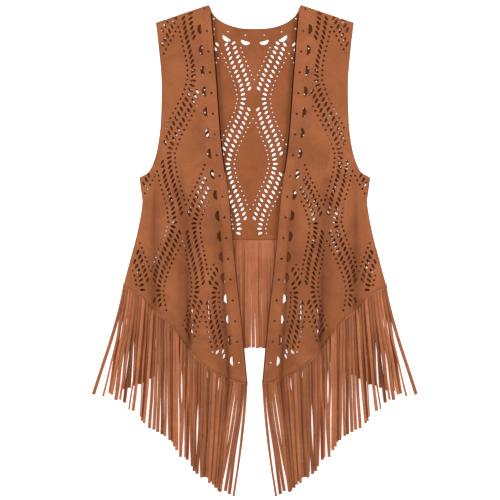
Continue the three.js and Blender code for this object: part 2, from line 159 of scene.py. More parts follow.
@dataclass(frozen=True)
class Cut:
    """The garment's outline and how its cloth lies."""

    suede: float = 0.0012
    front_wall: float = 0.0015
    seam_gap: float = 0.0003
    front_lap: float = 0.00145
    back_lap: float = 0.0013
    back_strip_height: float = 0.0002
    strand_rest: float = 0.0004
    armpit_y: float = 0.1335
    bend_y: float = 0.173
    shoulder_y_out: float = 0.420
    shoulder_y_neck: float = 0.453
    shoulder_half_out: float = 0.183
    shoulder_half_neck: float = 0.0855
    side_end_y: float = -0.069
    edge_end_y: float = -0.247
    edge_end_half: float = 0.0133
    hem_half: float = 0.244
    armhole: SmoothCurve = SmoothCurve([
        (0.420, 0.183), (0.372, 0.1775), (0.323, 0.173), (0.277, 0.1725), (0.227, 0.1745),
        (0.193, 0.179), (0.173, 0.1835), (0.153, 0.191), (0.1415, 0.199), (0.1335, 0.2135),
    ])
    side_seam: SmoothCurve = SmoothCurve([
        (0.1335, 0.2135), (0.1105, 0.2105), (0.086, 0.208), (0.033, 0.217), (-0.017, 0.230),
        (-0.069, 0.244),
    ])
    front_edge: SmoothCurve = SmoothCurve([
        (0.453, 0.0855), (0.442, 0.080), (0.336, 0.071), (0.193, 0.060), (0.100, 0.0475),
        (-0.008, 0.0375), (-0.130, 0.024), (-0.247, 0.0133),
    ])
    front_hem: SmoothCurve = SmoothCurve([
        (0.244, -0.069), (0.222, -0.077), (0.203, -0.091), (0.183, -0.113), (0.162, -0.130),
        (0.146, -0.147), (0.125, -0.176), (0.107, -0.199), (0.091, -0.212), (0.072, -0.225),
        (0.046, -0.238), (0.0133, -0.247),
    ])
    back_hem: SmoothCurve = SmoothCurve([
        (0.0, 0.018), (0.055, 0.017), (0.110, 0.004), (0.180, -0.031), (0.244, -0.069),
    ])
    back_neck: SmoothCurve = SmoothCurve([
        (0.0, 0.4085), (0.027, 0.410), (0.054, 0.418), (0.072, 0.430), (0.0805, 0.442),
        (0.0855, 0.453),
    ])
    troughs: tuple[Trough, ...] = (Trough(0.1845, 0.182), Trough(0.130, 0.121), Trough(0.0695, 0.051))
    trough_top_y: float = 0.147
    trough_bottom_y: float = -0.200
    ridges: tuple[Ridge, ...] = (
        Ridge(0.0085, 0.150), Ridge(0.0150, 0.175), Ridge(0.0140, 0.150), Ridge(0.007, 0.140),
    )
    ridge_breadth: float = 6.0
    ridge_growth: float = 0.62
    # Reach and breadth of the painted shade in the troughs.
    crease_reach: float = 0.100
    crease_breadth: float = 2.8
    front_lift: float = 0.0030
    shoulder_reach: float = 0.018
    side_reach: float = 0.040

    @property
    def front_rest(self) -> float:
        """Return the height of a front's underside where it lies on the back."""
        return self.suede + self.seam_gap

    def outer_half(self, y: np.ndarray | float) -> np.ndarray:
        """Return the half width of the armhole or, below the armpit, of the side seam."""
        return np.where(np.asarray(y) > self.armpit_y, self.armhole(y), self.side_seam(y))

    def shoulder_y(self, half: np.ndarray | float) -> np.ndarray:
        """Return the height of the shoulder seam at a half width."""
        span = self.shoulder_half_out - self.shoulder_half_neck
        return mix(self.shoulder_y_neck, self.shoulder_y_out, (half - self.shoulder_half_neck) / span)

    def trough_half(self, trough: Trough, y: np.ndarray | float) -> np.ndarray:
        """Return the half width at which a trough crosses a height."""
        down = (self.trough_top_y - y) / (self.trough_top_y - self.trough_bottom_y)
        return mix(trough.top_half, trough.bottom_half, down)

    def front_height(self, half: np.ndarray, y: np.ndarray) -> np.ndarray:
        """Find how high a front's underside lies: down at its seams, and up on its folds.

        Args:
            half: Half widths.
            y: Places from hem to shoulder.

        Returns:
            Heights above the surface.
        """
        lift = self.front_lift * rise(self.shoulder_y(half) - y, self.shoulder_reach)
        lift = lift * rise(self.outer_half(y) - half, self.side_reach)
        return self.front_rest + lift + self.folds(half, y)[0]

    def folds(self, half: np.ndarray, y: np.ndarray) -> tuple[np.ndarray, np.ndarray]:
        """Find how high the folds stand, and how much painted shade each place gets in a trough between
        two folds.

        Args:
            half: Half widths.
            y: Places from hem to shoulder.

        Returns:
            Heights above the cloth at rest, and shares of painted shade from 0 on a crest to 1 in a
            trough.
        """
        half, y = np.broadcast_arrays(np.asarray(half, float), np.asarray(y, float))
        troughs = [self.trough_half(trough, y) for trough in self.troughs]
        lines = [self.outer_half(y), *troughs, self.front_edge(y)]
        segment = sum((half < line).astype(int) for line in lines[1:-1])
        heights, trough_shade_shares = np.zeros_like(half), np.zeros_like(half)
        last = len(self.ridges) - 1
        for i, ridge in enumerate(self.ridges):
            across = np.clip((lines[i] - half) / (lines[i] - lines[i + 1]), 0, 1)
            slump = np.abs(np.cos(np.pi * across))
            trough = slump**self.ridge_breadth
            grown = np.clip((ridge.start_y - y) / (ridge.start_y - self.edge_end_y), 0, 1)
            height = ridge.height * (1 - trough) * grown**self.ridge_growth
            heights = np.where(segment == i, height, heights)
            at_rim = ((i == 0) & (across < 0.5)) | ((i == last) & (across > 0.5))
            # Painted shade: darkest along each trough, growing in below where each ridge starts.
            painted_trough_shade = slump**self.crease_breadth * rise(ridge.start_y - y, self.crease_reach)
            trough_shade_shares = np.where(segment == i, np.where(at_rim, 0, painted_trough_shade), trough_shade_shares)
        return heights, trough_shade_shares


@dataclass(frozen=True)
class LatticeRow:
    """Where one row of the front's lattice lies, and how far apart its columns are."""

    row: float
    half: float
    pitch: float
    y: float
    drop: float


class FrontLattice:
    """Places of the cut-out lattice on a front, which leans and narrows towards the hem."""

    COLUMN_SIGN = -1
    ROWS = (
        LatticeRow(-1, 0.119, 0.059, 0.578, 0.005),
        LatticeRow(0, 0.1365, 0.059, 0.446, 0.005),
        LatticeRow(1, 0.1545, 0.0585, 0.317, 0.007),
        LatticeRow(2, 0.1750, 0.0575, 0.180, 0.0045),
        LatticeRow(3, 0.1905, 0.0605, 0.053, 0.0035),
        LatticeRow(4, 0.192, 0.0505, -0.0745, 0.002),
        LatticeRow(5, 0.192, 0.0465, -0.2095, 0.002),
        LatticeRow(6, 0.192, 0.0465, -0.341, 0.002),
    )

    def __init__(self) -> None:
        """Make the smooth curves that the rows lie on."""
        self.half = SmoothCurve([(r.row, r.half) for r in self.ROWS])
        self.pitch = SmoothCurve([(r.row, r.pitch) for r in self.ROWS])
        self.y = SmoothCurve([(r.row, r.y) for r in self.ROWS])
        self.drop = SmoothCurve([(r.row, r.drop) for r in self.ROWS])

    def place(self, row: np.ndarray, column: np.ndarray) -> tuple[np.ndarray, np.ndarray]:
        """Return half widths and heights for lattice rows and columns."""
        return self.half(row) - column * self.pitch(row), self.y(row) - column * self.drop(row)


@dataclass(frozen=True)
class BackLattice:
    """Places of the cut-outs on the back: even in the middle, wider and lower under the fronts."""

    second_row_y: float = 0.279
    row_pitch: float = 0.120
    column_pitch: float = 0.0625
    lean: float = 0.033
    upright_y: float = 0.340
    covered_from: float = 1.548
    covered_spread: float = 0.0104
    covered_sag: float = 0.0018
    sag_growth: float = 0.089
    COLUMN_SIGN = 1

    def place(self, row: np.ndarray, column: np.ndarray) -> tuple[np.ndarray, np.ndarray]:
        """Find places on the back.

        Args:
            row: Lattice rows.
            column: Lattice columns.

        Returns:
            Half widths and heights.
        """
        y = self.second_row_y - (row - 2) * self.row_pitch
        half = column * self.column_pitch + self.lean * (y - self.upright_y)
        covered = np.maximum(np.abs(half) / self.column_pitch - self.covered_from, 0)
        sag = self.covered_sag + self.sag_growth * y
        return half + np.sign(half) * self.covered_spread * covered, y - sag * covered


@dataclass(frozen=True)
class Ring:
    """One closed ring of the lattice: slots outside and dots inside, round a plain cell."""

    steps: int
    tip: float
    slot_lean: float
    lean_reach: float
    dot_inset: float = 0.185
    least_dot_width: float = 0.045
    width: SmoothCurve = SmoothCurve([
        (0.0, 0.703), (0.2, 0.621), (0.4, 0.467), (0.6, 0.298), (0.86, 0.12),
    ])

    def holes(self, lattice: FrontLattice | BackLattice, row: int, column: int) -> np.ndarray:
        """Find one ring's slots, level where it is widest and leaning elsewhere, and its dots.

        Args:
            lattice: Where rows and columns lie.
            row: The cell's row.
            column: The cell's column.

        Returns:
            Rows of half width, height, angle and kind.
        """
        step = self.tip / self.steps
        along = np.arange(-self.steps, self.steps + 1) * step
        width = self.width(np.abs(along))
        has_dot = width - self.dot_inset > self.least_dot_width
        found = []
        for side in (-1, 1):
            half, y = lattice.place(row + along, column + side * width)
            outward = side * lattice.COLUMN_SIGN
            angle = -outward * self.slot_lean * np.tanh(along / (self.lean_reach * step))
            found.append(np.column_stack([half, y, angle, np.full_like(half, HoleKind.SLOT)]))
            dot_columns = column + side * (width - self.dot_inset)
            half, y = lattice.place(row + along[has_dot], dot_columns[has_dot])
            found.append(np.column_stack([half, y, 0 * half, np.full_like(half, HoleKind.DOT)]))
        last = (along[has_dot].max() + step) * np.array([-1, 1])
        half, y = lattice.place(row + last, column + 0 * last)
        found.append(np.column_stack([half, y, 0 * half, np.full_like(half, HoleKind.DOT)]))
        return np.concatenate(found)


@dataclass(frozen=True)
class CutOuts:
    """Sizes of the cut-outs and the plain borders that they keep to."""

    slot_length: float = 0.0087
    slot_width: float = 0.0038
    dot_size: float = 0.0026
    moon_length: float = 0.0172
    moon_width: float = 0.0066
    border: float = 0.036
    neck_border: float = 0.0295
    margin: float = 0.006
    hem_margin: SmoothCurve = SmoothCurve([
        (0.0133, 0.034), (0.080, 0.031), (0.115, 0.018), (0.160, 0.013), (0.244, 0.010),
    ])
    moon_inset: float = 0.026
    moon_count: int = 17
    moon_first_y: float = 0.4068
    moon_pitch: float = 0.03825
    moon_dot_inset: float = 0.0125
    moon_dot_drop: float = 0.0028
    neck_moon_halves: tuple[float, ...] = (0.0165, 0.045)
    neck_moon_tilt: float = 0.27
    neck_dot_halves: tuple[float, ...] = (0.0170, 0.0455)
    neck_dot_inset: float = 0.0120
    collar_dots: tuple[tuple[float, float], ...] = ((0.0759, 0.4273), (0.0749, 0.4088))
    rows: range = range(-1, 7)
    columns: range = range(-4, 5)

    def lattice(self, lattice: FrontLattice | BackLattice, ring: Ring) -> np.ndarray:
        """Return every ring's slots and dots, as rows of half width, height, angle and kind."""
        cells = [(row, column) for row in self.rows for column in self.columns if (row + column) % 2]
        return np.concatenate([ring.holes(lattice, *cell) for cell in cells])

    def on_front(self, cut: Cut) -> np.ndarray:
        """Find every cut-out of one front.

        Args:
            cut: The garment's outline.

        Returns:
            Rows of half width, height, angle and kind.
        """
        holes = self.lattice(FrontLattice(), Ring(steps=13, tip=0.861, slot_lean=1.08, lean_reach=2.4))
        half, y = holes[:, 0], holes[:, 1]
        keep = half > cut.front_edge(y) + self.border
        keep &= half < cut.outer_half(y) - self.margin
        keep &= y < cut.shoulder_y(half) + self.slot_width
        keep &= y > cut.front_hem(half) + self.hem_margin(half)
        moon_y = self.moon_first_y - np.arange(self.moon_count) * self.moon_pitch
        rise_in = cut.front_edge(moon_y + self.moon_length) - cut.front_edge(moon_y - self.moon_length)
        lean = np.arctan2(rise_in, 2 * self.moon_length)
        edge = cut.front_edge(moon_y)
        moons = np.column_stack([
            edge + self.moon_inset, moon_y, -math.pi / 2 - lean, np.full_like(moon_y, HoleKind.MOON),
        ])
        dot_y = np.append(moon_y - self.moon_dot_drop, moon_y[0] + self.moon_pitch)
        dots = np.column_stack([
            cut.front_edge(dot_y) + self.moon_dot_inset, dot_y,
            np.zeros_like(dot_y), np.full_like(dot_y, HoleKind.DOT),
        ])
        return np.concatenate([holes[keep], moons, dots])

    def on_back(self, cut: Cut) -> np.ndarray:
        """Find every cut-out of the back.

        Args:
            cut: The garment's outline.

        Returns:
            Rows of half width, height, angle and kind.
        """
        holes = self.lattice(BackLattice(), Ring(steps=12, tip=0.84, slot_lean=0.90, lean_reach=2.2))
        out, y = np.abs(holes[:, 0]), holes[:, 1]
        at_neck = out < cut.shoulder_half_neck
        below_neck = cut.back_neck(out) - self.neck_border
        top = np.where(at_neck, below_neck, cut.shoulder_y(out) + self.slot_width)
        keep = (out < cut.outer_half(y) - self.margin) & (y < top)
        keep &= y > cut.back_hem(out) + self.margin
        rows = [holes[keep]]
        for half in self.neck_moon_halves:
            rows.append(self.beside_neck(cut, half, self.moon_inset, HoleKind.MOON))
        for half in self.neck_dot_halves:
            rows.append(self.beside_neck(cut, half, self.neck_dot_inset, HoleKind.DOT))
        for half, y in self.collar_dots:
            rows.append(np.array([[half, y, 0, HoleKind.DOT], [-half, y, 0, HoleKind.DOT]]))
        return np.concatenate(rows)

    def beside_neck(self, cut: Cut, half: float, inset: float, kind: HoleKind) -> np.ndarray:
        """Place a cut-out and its mirror image below the back's neckline.

        Args:
            cut: The garment's outline.
            half: Half width on the neckline.
            inset: Distance from the neckline.
            kind: The cut-out's shape.

        Returns:
            Two rows of half width, height, angle and kind.
        """
        step = self.moon_length / 2
        slope = math.atan((cut.back_neck(half + step) - cut.back_neck(half - step)) / self.moon_length)
        x = half + inset * math.sin(slope)
        y = float(cut.back_neck(half)) - inset * math.cos(slope)
        turn = slope + self.neck_moon_tilt
        return np.array([[x, y, math.pi + turn, kind], [-x, y, math.pi - turn, kind]])


class NodeMaker:
    """Adds nodes to one tree and links them."""

    def __init__(self, tree: bpy.types.NodeTree) -> None:
        """Keep the tree that is being filled."""
        self.tree = tree

    def add(
        self, kind: str, settings: dict[str, object] | None = None, **inputs: object
    ) -> bpy.types.Node:
        """Add one node.

        Args:
            kind: Blender's name for the node.
            settings: Properties of the node itself.
            **inputs: Values or sockets by input name, with _ for a space, or by number as i0, i1.

        Returns:
            The node.
        """
        node = self.tree.nodes.new(kind)
        for name, value in (settings or {}).items():
            setattr(node, name, value)
        for name, value in inputs.items():
            by_number = name[0] == "i" and name[1:].isdigit()
            socket = node.inputs[int(name[1:]) if by_number else name.replace("_", " ")]
            if isinstance(value, bpy.types.NodeSocket):
                self.tree.links.new(value, socket)
            else:
                socket.default_value = value
        return node

    def math(self, operation: str, first: object, second: object = 0.0) -> bpy.types.NodeSocket:
        """Add a Math node and return its result."""
        kind = "ShaderNodeMath"
        return self.add(kind, {"operation": operation}, i0=first, i1=second).outputs[0]

    def product(self, first: object, second: object) -> bpy.types.NodeSocket:
        """Add a Math node that multiplies and return its result."""
        return self.math("MULTIPLY", first, second)

    def compare(
        self, operation: str, first: object, second: object, data_type: str = "INT"
    ) -> bpy.types.NodeSocket:
        """Add a Compare node.

        Args:
            operation: Blender's name for the comparison.
            first: The first value or socket.
            second: The second value or socket.
            data_type: INT or FLOAT.

        Returns:
            Its result.
        """
        number = 2 if data_type == "INT" else 0
        settings = {"data_type": data_type, "operation": operation}
        inputs = {f"i{number}": first, f"i{number + 1}": second}
        return self.add("FunctionNodeCompare", settings, **inputs).outputs[0]

    def smooth(self, geometry: bpy.types.NodeSocket, sharp_from: float) -> bpy.types.NodeSocket:
        """Shade a mesh smooth, with its sharp edges kept.

        Args:
            geometry: The mesh.
            sharp_from: The bend in radians from which an edge stays sharp.

        Returns:
            The shaded mesh.
        """
        kind = "GeometryNodeSetShadeSmooth"
        faces = self.add(kind, {"domain": "FACE"}, Geometry=geometry, Shade_Smooth=True)
        bend = self.add("GeometryNodeInputMeshEdgeAngle").outputs["Unsigned Angle"]
        is_sharp = self.compare("GREATER_THAN", bend, sharp_from, "FLOAT")
        return self.add(
            kind, {"domain": "EDGE"}, Geometry=faces.outputs[0], Selection=is_sharp, Shade_Smooth=False
        ).outputs[0]

    def read(self, name: str, data_type: str = "FLOAT") -> bpy.types.NodeSocket:
        """Return a named attribute's value in a geometry tree."""
        kind = "GeometryNodeInputNamedAttribute"
        return self.add(kind, {"data_type": data_type}, Name=name).outputs["Attribute"]


class SocketKind(Enum):
    """Kinds of socket on a group, by Blender's names."""

    GEOMETRY = "NodeSocketGeometry"
    FLOAT = "NodeSocketFloat"
    OBJECT = "NodeSocketObject"
    MATERIAL = "NodeSocketMaterial"
    COLOUR = "NodeSocketColor"

    def named(self, *names: str) -> dict[str, "SocketKind"]:
        """Return sockets of this kind by name."""
        return dict.fromkeys(names, self)


def new_group(
    name: str, kind: str, inputs: dict[str, SocketKind], outputs: dict[str, SocketKind]
) -> tuple[bpy.types.NodeTree, NodeMaker, bpy.types.Node, bpy.types.Node]:
    """Start a node group with named sockets.

    Args:
        name: The group's name.
        kind: Blender's name for the kind of tree.
        inputs: Input names and kinds.
        outputs: Output names and kinds.

    Returns:
        The tree, its maker, its input node and its output node.
    """
    tree = bpy.data.node_groups.new(name, kind)
    for label, socket in inputs.items():
        tree.interface.new_socket(label, in_out="INPUT", socket_type=socket.value)
    for label, socket in outputs.items():
        tree.interface.new_socket(label, in_out="OUTPUT", socket_type=socket.value)
    maker = NodeMaker(tree)
    return tree, maker, maker.add("NodeGroupInput"), maker.add("NodeGroupOutput")


def run_tree(
    obj: bpy.types.Object, tree: bpy.types.NodeTree, values: dict[str, object]
) -> None:
    """Run a geometry tree on an object and keep the result as its plain mesh, with no modifier.

    Args:
        obj: The object that the tree starts from.
        tree: The geometry tree.
        values: Its inputs by name.
    """
    modifier = obj.modifiers.new(tree.name, "NODES")
    modifier.node_group = tree
    for item in tree.interface.items_tree:
        if item.item_type == "SOCKET" and item.in_out == "INPUT" and item.name in values:
            modifier[item.identifier] = values[item.name]
    evaluated = obj.evaluated_get(bpy.context.evaluated_depsgraph_get())
    mesh = bpy.data.meshes.new_from_object(evaluated)
    old = obj.data
    obj.modifiers.clear()
    obj.data = mesh
    mesh.name = obj.name
    bpy.data.meshes.remove(old)


@dataclass(frozen=True)
class CutterShape:
    """How much wider a cutter is at the cloth's upper side than at its underside."""

    kind: HoleKind
    flare: float


# The flares widen each hole's top into a dark ring in the cut-edge colour, partly real cut edge and
# partly painted shadow.
CUTTER_SHAPES = (
    CutterShape(HoleKind.SLOT, 1.24), CutterShape(HoleKind.DOT, 1.65), CutterShape(HoleKind.MOON, 1.10),
)


def perforation_tree() -> bpy.types.NodeTree:
    """Build the tree that cuts slots, dots and half-moons through a panel.

    Returns:
        The tree. Its places are the points of an object with hole_turn and hole_kind.
    """
    tree, make, start, end = new_group(
        "cut_outs",
        "GeometryNodeTree",
        {
            "Panel": SocketKind.GEOMETRY,
            "Places": SocketKind.OBJECT,
            **SocketKind.FLOAT.named(
                "Slot length", "Slot width", "Dot size", "Moon length", "Moon width",
                "Cutter reach", "Flare height",
            ),
            **SocketKind.MATERIAL.named("Suede", "Cut edge"),
        },
        {"Panel": SocketKind.GEOMETRY},
    )
    sizes = start.outputs
    reach = sizes["Cutter reach"]
    line = make.add("GeometryNodeCurvePrimitiveLine", End=(0.0, 0.0, 1.0)).outputs["Curve"]
    rod = make.add("GeometryNodeResampleCurve", {"mode": "COUNT"}, Curve=line, Count=4).outputs["Curve"]
    index = make.add("GeometryNodeInputIndex").outputs[0]
    is_above = make.compare("GREATER_THAN", index, 1)
    is_last = make.compare("GREATER_THAN", index, 2)
    is_first = make.compare("LESS_THAN", index, 1)
    low = make.product(make.product(is_first, reach), -1.0)
    high = make.product(is_last, reach)
    flared = make.product(is_above, sizes["Flare height"])
    height = make.math("ADD", make.math("ADD", low, high), flared)
    stretched = make.add(
        "GeometryNodeSetPosition", Geometry=rod,
        Position=make.add("ShaderNodeCombineXYZ", Z=height).outputs[0],
    )
    oval = make.add("GeometryNodeCurvePrimitiveCircle", Resolution=OVAL_POINTS, Radius=1.0)
    slot_scale = make.add(
        "ShaderNodeCombineXYZ", X=make.product(sizes["Slot length"], 0.5),
        Y=make.product(sizes["Slot width"], 0.5), Z=1.0,
    )
    slot = make.add(
        "GeometryNodeTransform", Geometry=oval.outputs["Curve"], Scale=slot_scale.outputs[0]
    )
    dot_radius = make.product(sizes["Dot size"], 0.5)
    dot = make.add("GeometryNodeCurvePrimitiveCircle", Resolution=DOT_POINTS, Radius=dot_radius)
    arc = make.add("GeometryNodeCurveArc", Resolution=MOON_POINTS, Radius=1.0, Sweep_Angle=math.pi)
    closed = make.add("GeometryNodeSetSplineCyclic", Geometry=arc.outputs["Curve"], Cyclic=True)
    moon_scale = make.add(
        "ShaderNodeCombineXYZ", X=make.product(sizes["Moon length"], 0.5),
        Y=sizes["Moon width"], Z=1.0,
    )
    moon_shift = make.add(
        "ShaderNodeCombineXYZ", Y=make.product(sizes["Moon width"], -MOON_BACK_SHARE)
    )
    moon = make.add(
        "GeometryNodeTransform", Geometry=closed.outputs[0], Scale=moon_scale.outputs[0],
        Translation=moon_shift.outputs[0],
    )
    outlines = {
        HoleKind.SLOT: slot.outputs[0],
        HoleKind.DOT: dot.outputs["Curve"],
        HoleKind.MOON: moon.outputs[0],
    }
    places = make.add("GeometryNodeObjectInfo", Object=sizes["Places"]).outputs["Geometry"]
    turn = make.add("FunctionNodeEulerToRotation", i0=make.read("hole_turn", "FLOAT_VECTOR"))
    join = make.add("GeometryNodeJoinGeometry")
    for shape in CUTTER_SHAPES:
        extra = make.product(is_above, shape.flare - 1)
        cutter = make.add(
            "GeometryNodeCurveToMesh", Curve=stretched.outputs[0], Profile_Curve=outlines[shape.kind],
            Scale=make.math("ADD", extra, 1.0), Fill_Caps=True,
        )
        is_kind = make.compare("EQUAL", make.read("hole_kind", "INT"), int(shape.kind))
        placed = make.add(
            "GeometryNodeInstanceOnPoints", Points=places, Selection=is_kind,
            Instance=cutter.outputs[0], Rotation=turn.outputs[0],
        )
        tree.links.new(placed.outputs[0], join.inputs[0])
    cutters = make.add("GeometryNodeRealizeInstances", Geometry=join.outputs[0])
    # Cut walls get the dark cut-edge colour, partly real cut edge and partly painted shadow.
    burnt_and_shaded = make.add(
        "GeometryNodeSetMaterial", Geometry=cutters.outputs[0], Material=sizes["Cut edge"]
    )
    cut = make.add("GeometryNodeMeshBoolean", {"operation": "DIFFERENCE", "solver": "MANIFOLD"})
    tree.links.new(sizes["Panel"], cut.inputs["Mesh 1"])
    tree.links.new(burnt_and_shaded.outputs[0], cut.inputs["Mesh 2"])
    edged = make.smooth(cut.outputs["Mesh"], SHARP_CUT)
    real = make.add("GeometryNodeRealizeInstances", Geometry=edged)
    is_suede = make.add("GeometryNodeMaterialSelection", Material=sizes["Suede"])
    suede = make.add(
        "GeometryNodeSetMaterial", Geometry=real.outputs[0],
        Selection=is_suede.outputs[0], Material=sizes["Suede"],
    )
    tree.links.new(suede.outputs[0], end.inputs["Panel"])
    return tree


def strand_tree() -> bpy.types.NodeTree:
    """Build the tree that turns centre lines into flat fringe strands and joins them to their strip.

    Returns:
        The tree. Its lines are the points with is_strand, and carry strand_width and strand_tilt.
    """
    tree, make, start, end = new_group(
        "fringe_strands",
        "GeometryNodeTree",
        {
            "Strip and lines": SocketKind.GEOMETRY,
            **SocketKind.FLOAT.named("Strand width", "Strand thickness", "Edge rounding"),
            "Suede": SocketKind.MATERIAL,
        },
        {"Fringe": SocketKind.GEOMETRY},
    )
    sizes = start.outputs
    parts = make.add(
        "GeometryNodeSeparateGeometry", {"domain": "POINT"},
        Geometry=sizes["Strip and lines"], Selection=make.read("is_strand", "BOOLEAN"),
    )
    line = make.add("GeometryNodeMeshToCurve", Mesh=parts.outputs["Selection"])
    level = make.add("GeometryNodeSetCurveNormal", {"mode": "Z_UP"}, Curve=line.outputs[0])
    tilted = make.add("GeometryNodeSetCurveTilt", Curve=level.outputs[0], Tilt=make.read("strand_tilt"))
    section = make.add(
        "GeometryNodeCurvePrimitiveQuadrilateral", Width=sizes["Strand width"],
        Height=sizes["Strand thickness"],
    )
    rounded = make.add(
        "GeometryNodeFilletCurve", {"mode": "POLY"},
        Curve=section.outputs[0], Count=1, Radius=sizes["Edge rounding"], Limit_Radius=True,
    )
    strands = make.add(
        "GeometryNodeCurveToMesh", Curve=tilted.outputs[0], Profile_Curve=rounded.outputs[0],
        Scale=make.read("strand_width"), Fill_Caps=True,
    )
    join = make.add("GeometryNodeJoinGeometry")
    tree.links.new(parts.outputs["Inverted"], join.inputs[0])
    tree.links.new(strands.outputs[0], join.inputs[0])
    real = make.add("GeometryNodeRealizeInstances", Geometry=join.outputs[0])
    edged = make.smooth(real.outputs[0], SHARP_STRAND)
    suede = make.add("GeometryNodeSetMaterial", Geometry=edged, Material=sizes["Suede"])
    tree.links.new(suede.outputs[0], end.inputs["Fringe"])
    return tree


def stitch_tree() -> bpy.types.NodeTree:
    """Build the tree that sets short stitches along a line.

    Returns:
        The tree.
    """
    tree, make, start, end = new_group(
        "stitches",
        "GeometryNodeTree",
        {
            "Line": SocketKind.GEOMETRY,
            **SocketKind.FLOAT.named("Stitch pitch", "Stitch length", "Thread radius"),
            "Thread": SocketKind.MATERIAL,
        },
        {"Stitches": SocketKind.GEOMETRY},
    )
    sizes = start.outputs
    line = make.add("GeometryNodeMeshToCurve", Mesh=sizes["Line"])
    spots = make.add(
        "GeometryNodeCurveToPoints", {"mode": "LENGTH"}, Curve=line.outputs[0],
        Length=sizes["Stitch pitch"],
    )
    along = make.add(
        "FunctionNodeAlignRotationToVector", {"axis": "Z"}, Vector=spots.outputs["Tangent"]
    )
    thread = make.add(
        "GeometryNodeMeshCylinder", Vertices=THREAD_SIDES, Side_Segments=3,
        Radius=sizes["Thread radius"], Depth=sizes["Stitch length"],
    )
    placed = make.add(
        "GeometryNodeInstanceOnPoints", Points=spots.outputs["Points"], Instance=thread.outputs["Mesh"],
        Rotation=along.outputs[0],
    )
    real = make.add("GeometryNodeRealizeInstances", Geometry=placed.outputs[0])
    smooth = make.add("GeometryNodeSetShadeSmooth", Geometry=real.outputs[0], Shade_Smooth=True)
    finished = make.add(
        "GeometryNodeSetMaterial", Geometry=smooth.outputs[0], Material=sizes["Thread"]
    )
    tree.links.new(finished.outputs[0], end.inputs["Stitches"])
    return tree


def nap_group() -> bpy.types.NodeTree:
    """Build the suede nap: patches where the pile lies another way, finger marks and fibres, made darker
    or lighter by a tone input that carries random strand tone and painted shade.

    Returns:
        The shader group.
    """
    tree, make, start, end = new_group(
        "suede_nap",
        "ShaderNodeTree",
        {
            **SocketKind.COLOUR.named("Colour", "Brushed colour"),
            **SocketKind.FLOAT.named(
                "Patch scale", "Mark scale", "Mark strength", "Fibre scale", "Fibre strength", "Tone"
            ),
        },
        {"Colour": SocketKind.COLOUR, "Height": SocketKind.FLOAT, "Roughness": SocketKind.FLOAT},
    )
    patch_low, patch_high = 0.35, 0.68
    fibre_low, fibre_high = 0.3, 0.7
    least_rough, most_rough = 0.82, 0.98
    values = start.outputs
    place = make.add("ShaderNodeTexCoord").outputs["Object"]
    patches = make.add(
        "ShaderNodeTexNoise", Vector=place, Scale=values["Patch scale"], Detail=5.0, Roughness=0.62,
        Distortion=0.6,
    )
    contrast = make.add(
        "ShaderNodeMapRange", Value=patches.outputs[0], i1=patch_low, i2=patch_high, i3=0.0, i4=1.0
    )
    fibres = make.add(
        "ShaderNodeTexNoise", Vector=place, Scale=values["Fibre scale"], Detail=3.0, Roughness=0.7
    )
    brushed = make.add(
        "ShaderNodeMix", {"data_type": "RGBA"}, i0=contrast.outputs[0], i6=values["Colour"],
        i7=values["Brushed colour"],
    )
    marks = make.add(
        "ShaderNodeTexNoise", Vector=place, Scale=values["Mark scale"], Detail=4.0, Roughness=0.65,
        Distortion=1.4,
    )
    speckle = make.product(make.math("SUBTRACT", fibres.outputs[0], 0.5), values["Fibre strength"])
    brushing = make.product(make.math("SUBTRACT", marks.outputs[0], 0.5), values["Mark strength"])
    # Tone darkens the colour: painted shade in the front troughs and under lower strands, plus the
    # strands' random tone.
    level = make.math("ADD", make.math("ADD", speckle, brushing), values["Tone"])
    level = make.math("ADD", level, 1.0)
    toned = make.add(
        "ShaderNodeVectorMath", {"operation": "SCALE"}, Vector=brushed.outputs[2], Scale=level
    )
    rough = make.add(
        "ShaderNodeMapRange", Value=fibres.outputs[0], i1=fibre_low, i2=fibre_high,
        i3=least_rough, i4=most_rough,
    )
    tree.links.new(toned.outputs[0], end.inputs["Colour"])
    tree.links.new(fibres.outputs[0], end.inputs["Height"])
    tree.links.new(rough.outputs[0], end.inputs["Roughness"])
    return tree


@dataclass(frozen=True)
class SuedeFinish:
    """Napped faux suede."""

    name: str
    colour: Colour
    brushed: Colour
    patch_scale: float = 17.0
    mark_scale: float = 95.0
    mark_strength: float = 0.40
    fibre_scale: float = 1300.0
    fibre_strength: float = 0.50
    sheen: float = 0.30
    sheen_roughness: float = 0.45
    shine: float = 0.15
    bump: float = 0.55
    fibre_height: float = 0.0004
    tone_attribute: str = TONE_AND_PAINTED_SHADE

    def material(self, nap: bpy.types.NodeTree) -> bpy.types.Material:
        """Build the material.

        Args:
            nap: The nap shader group.

        Returns:
            The material.
        """
        made = bpy.data.materials.new(self.name)
        made.use_nodes = True
        made.node_tree.nodes.clear()
        make = NodeMaker(made.node_tree)
        tone = make.add("ShaderNodeAttribute", {"attribute_name": self.tone_attribute}).outputs["Fac"]
        group = make.add("ShaderNodeGroup", {"node_tree": nap})
        for name, value in (
            ("Colour", (*self.colour, 1)),
            ("Brushed colour", (*self.brushed, 1)),
            ("Patch scale", self.patch_scale),
            ("Mark scale", self.mark_scale),
            ("Mark strength", self.mark_strength),
            ("Fibre scale", self.fibre_scale),
            ("Fibre strength", self.fibre_strength),
        ):
            group.inputs[name].default_value = value
        made.node_tree.links.new(tone, group.inputs["Tone"])
        bump = make.add(
            "ShaderNodeBump", Strength=self.bump, Distance=self.fibre_height,
            Height=group.outputs["Height"],
        )
        shader = make.add(
            "ShaderNodeBsdfPrincipled", Base_Color=group.outputs["Colour"],
            Roughness=group.outputs["Roughness"], Normal=bump.outputs[0], Sheen_Weight=self.sheen,
            Sheen_Roughness=self.sheen_roughness, Sheen_Tint=(*self.brushed, 1),
            Specular_IOR_Level=self.shine,
        )
        make.add("ShaderNodeOutputMaterial", Surface=shader.outputs[0])
        return made


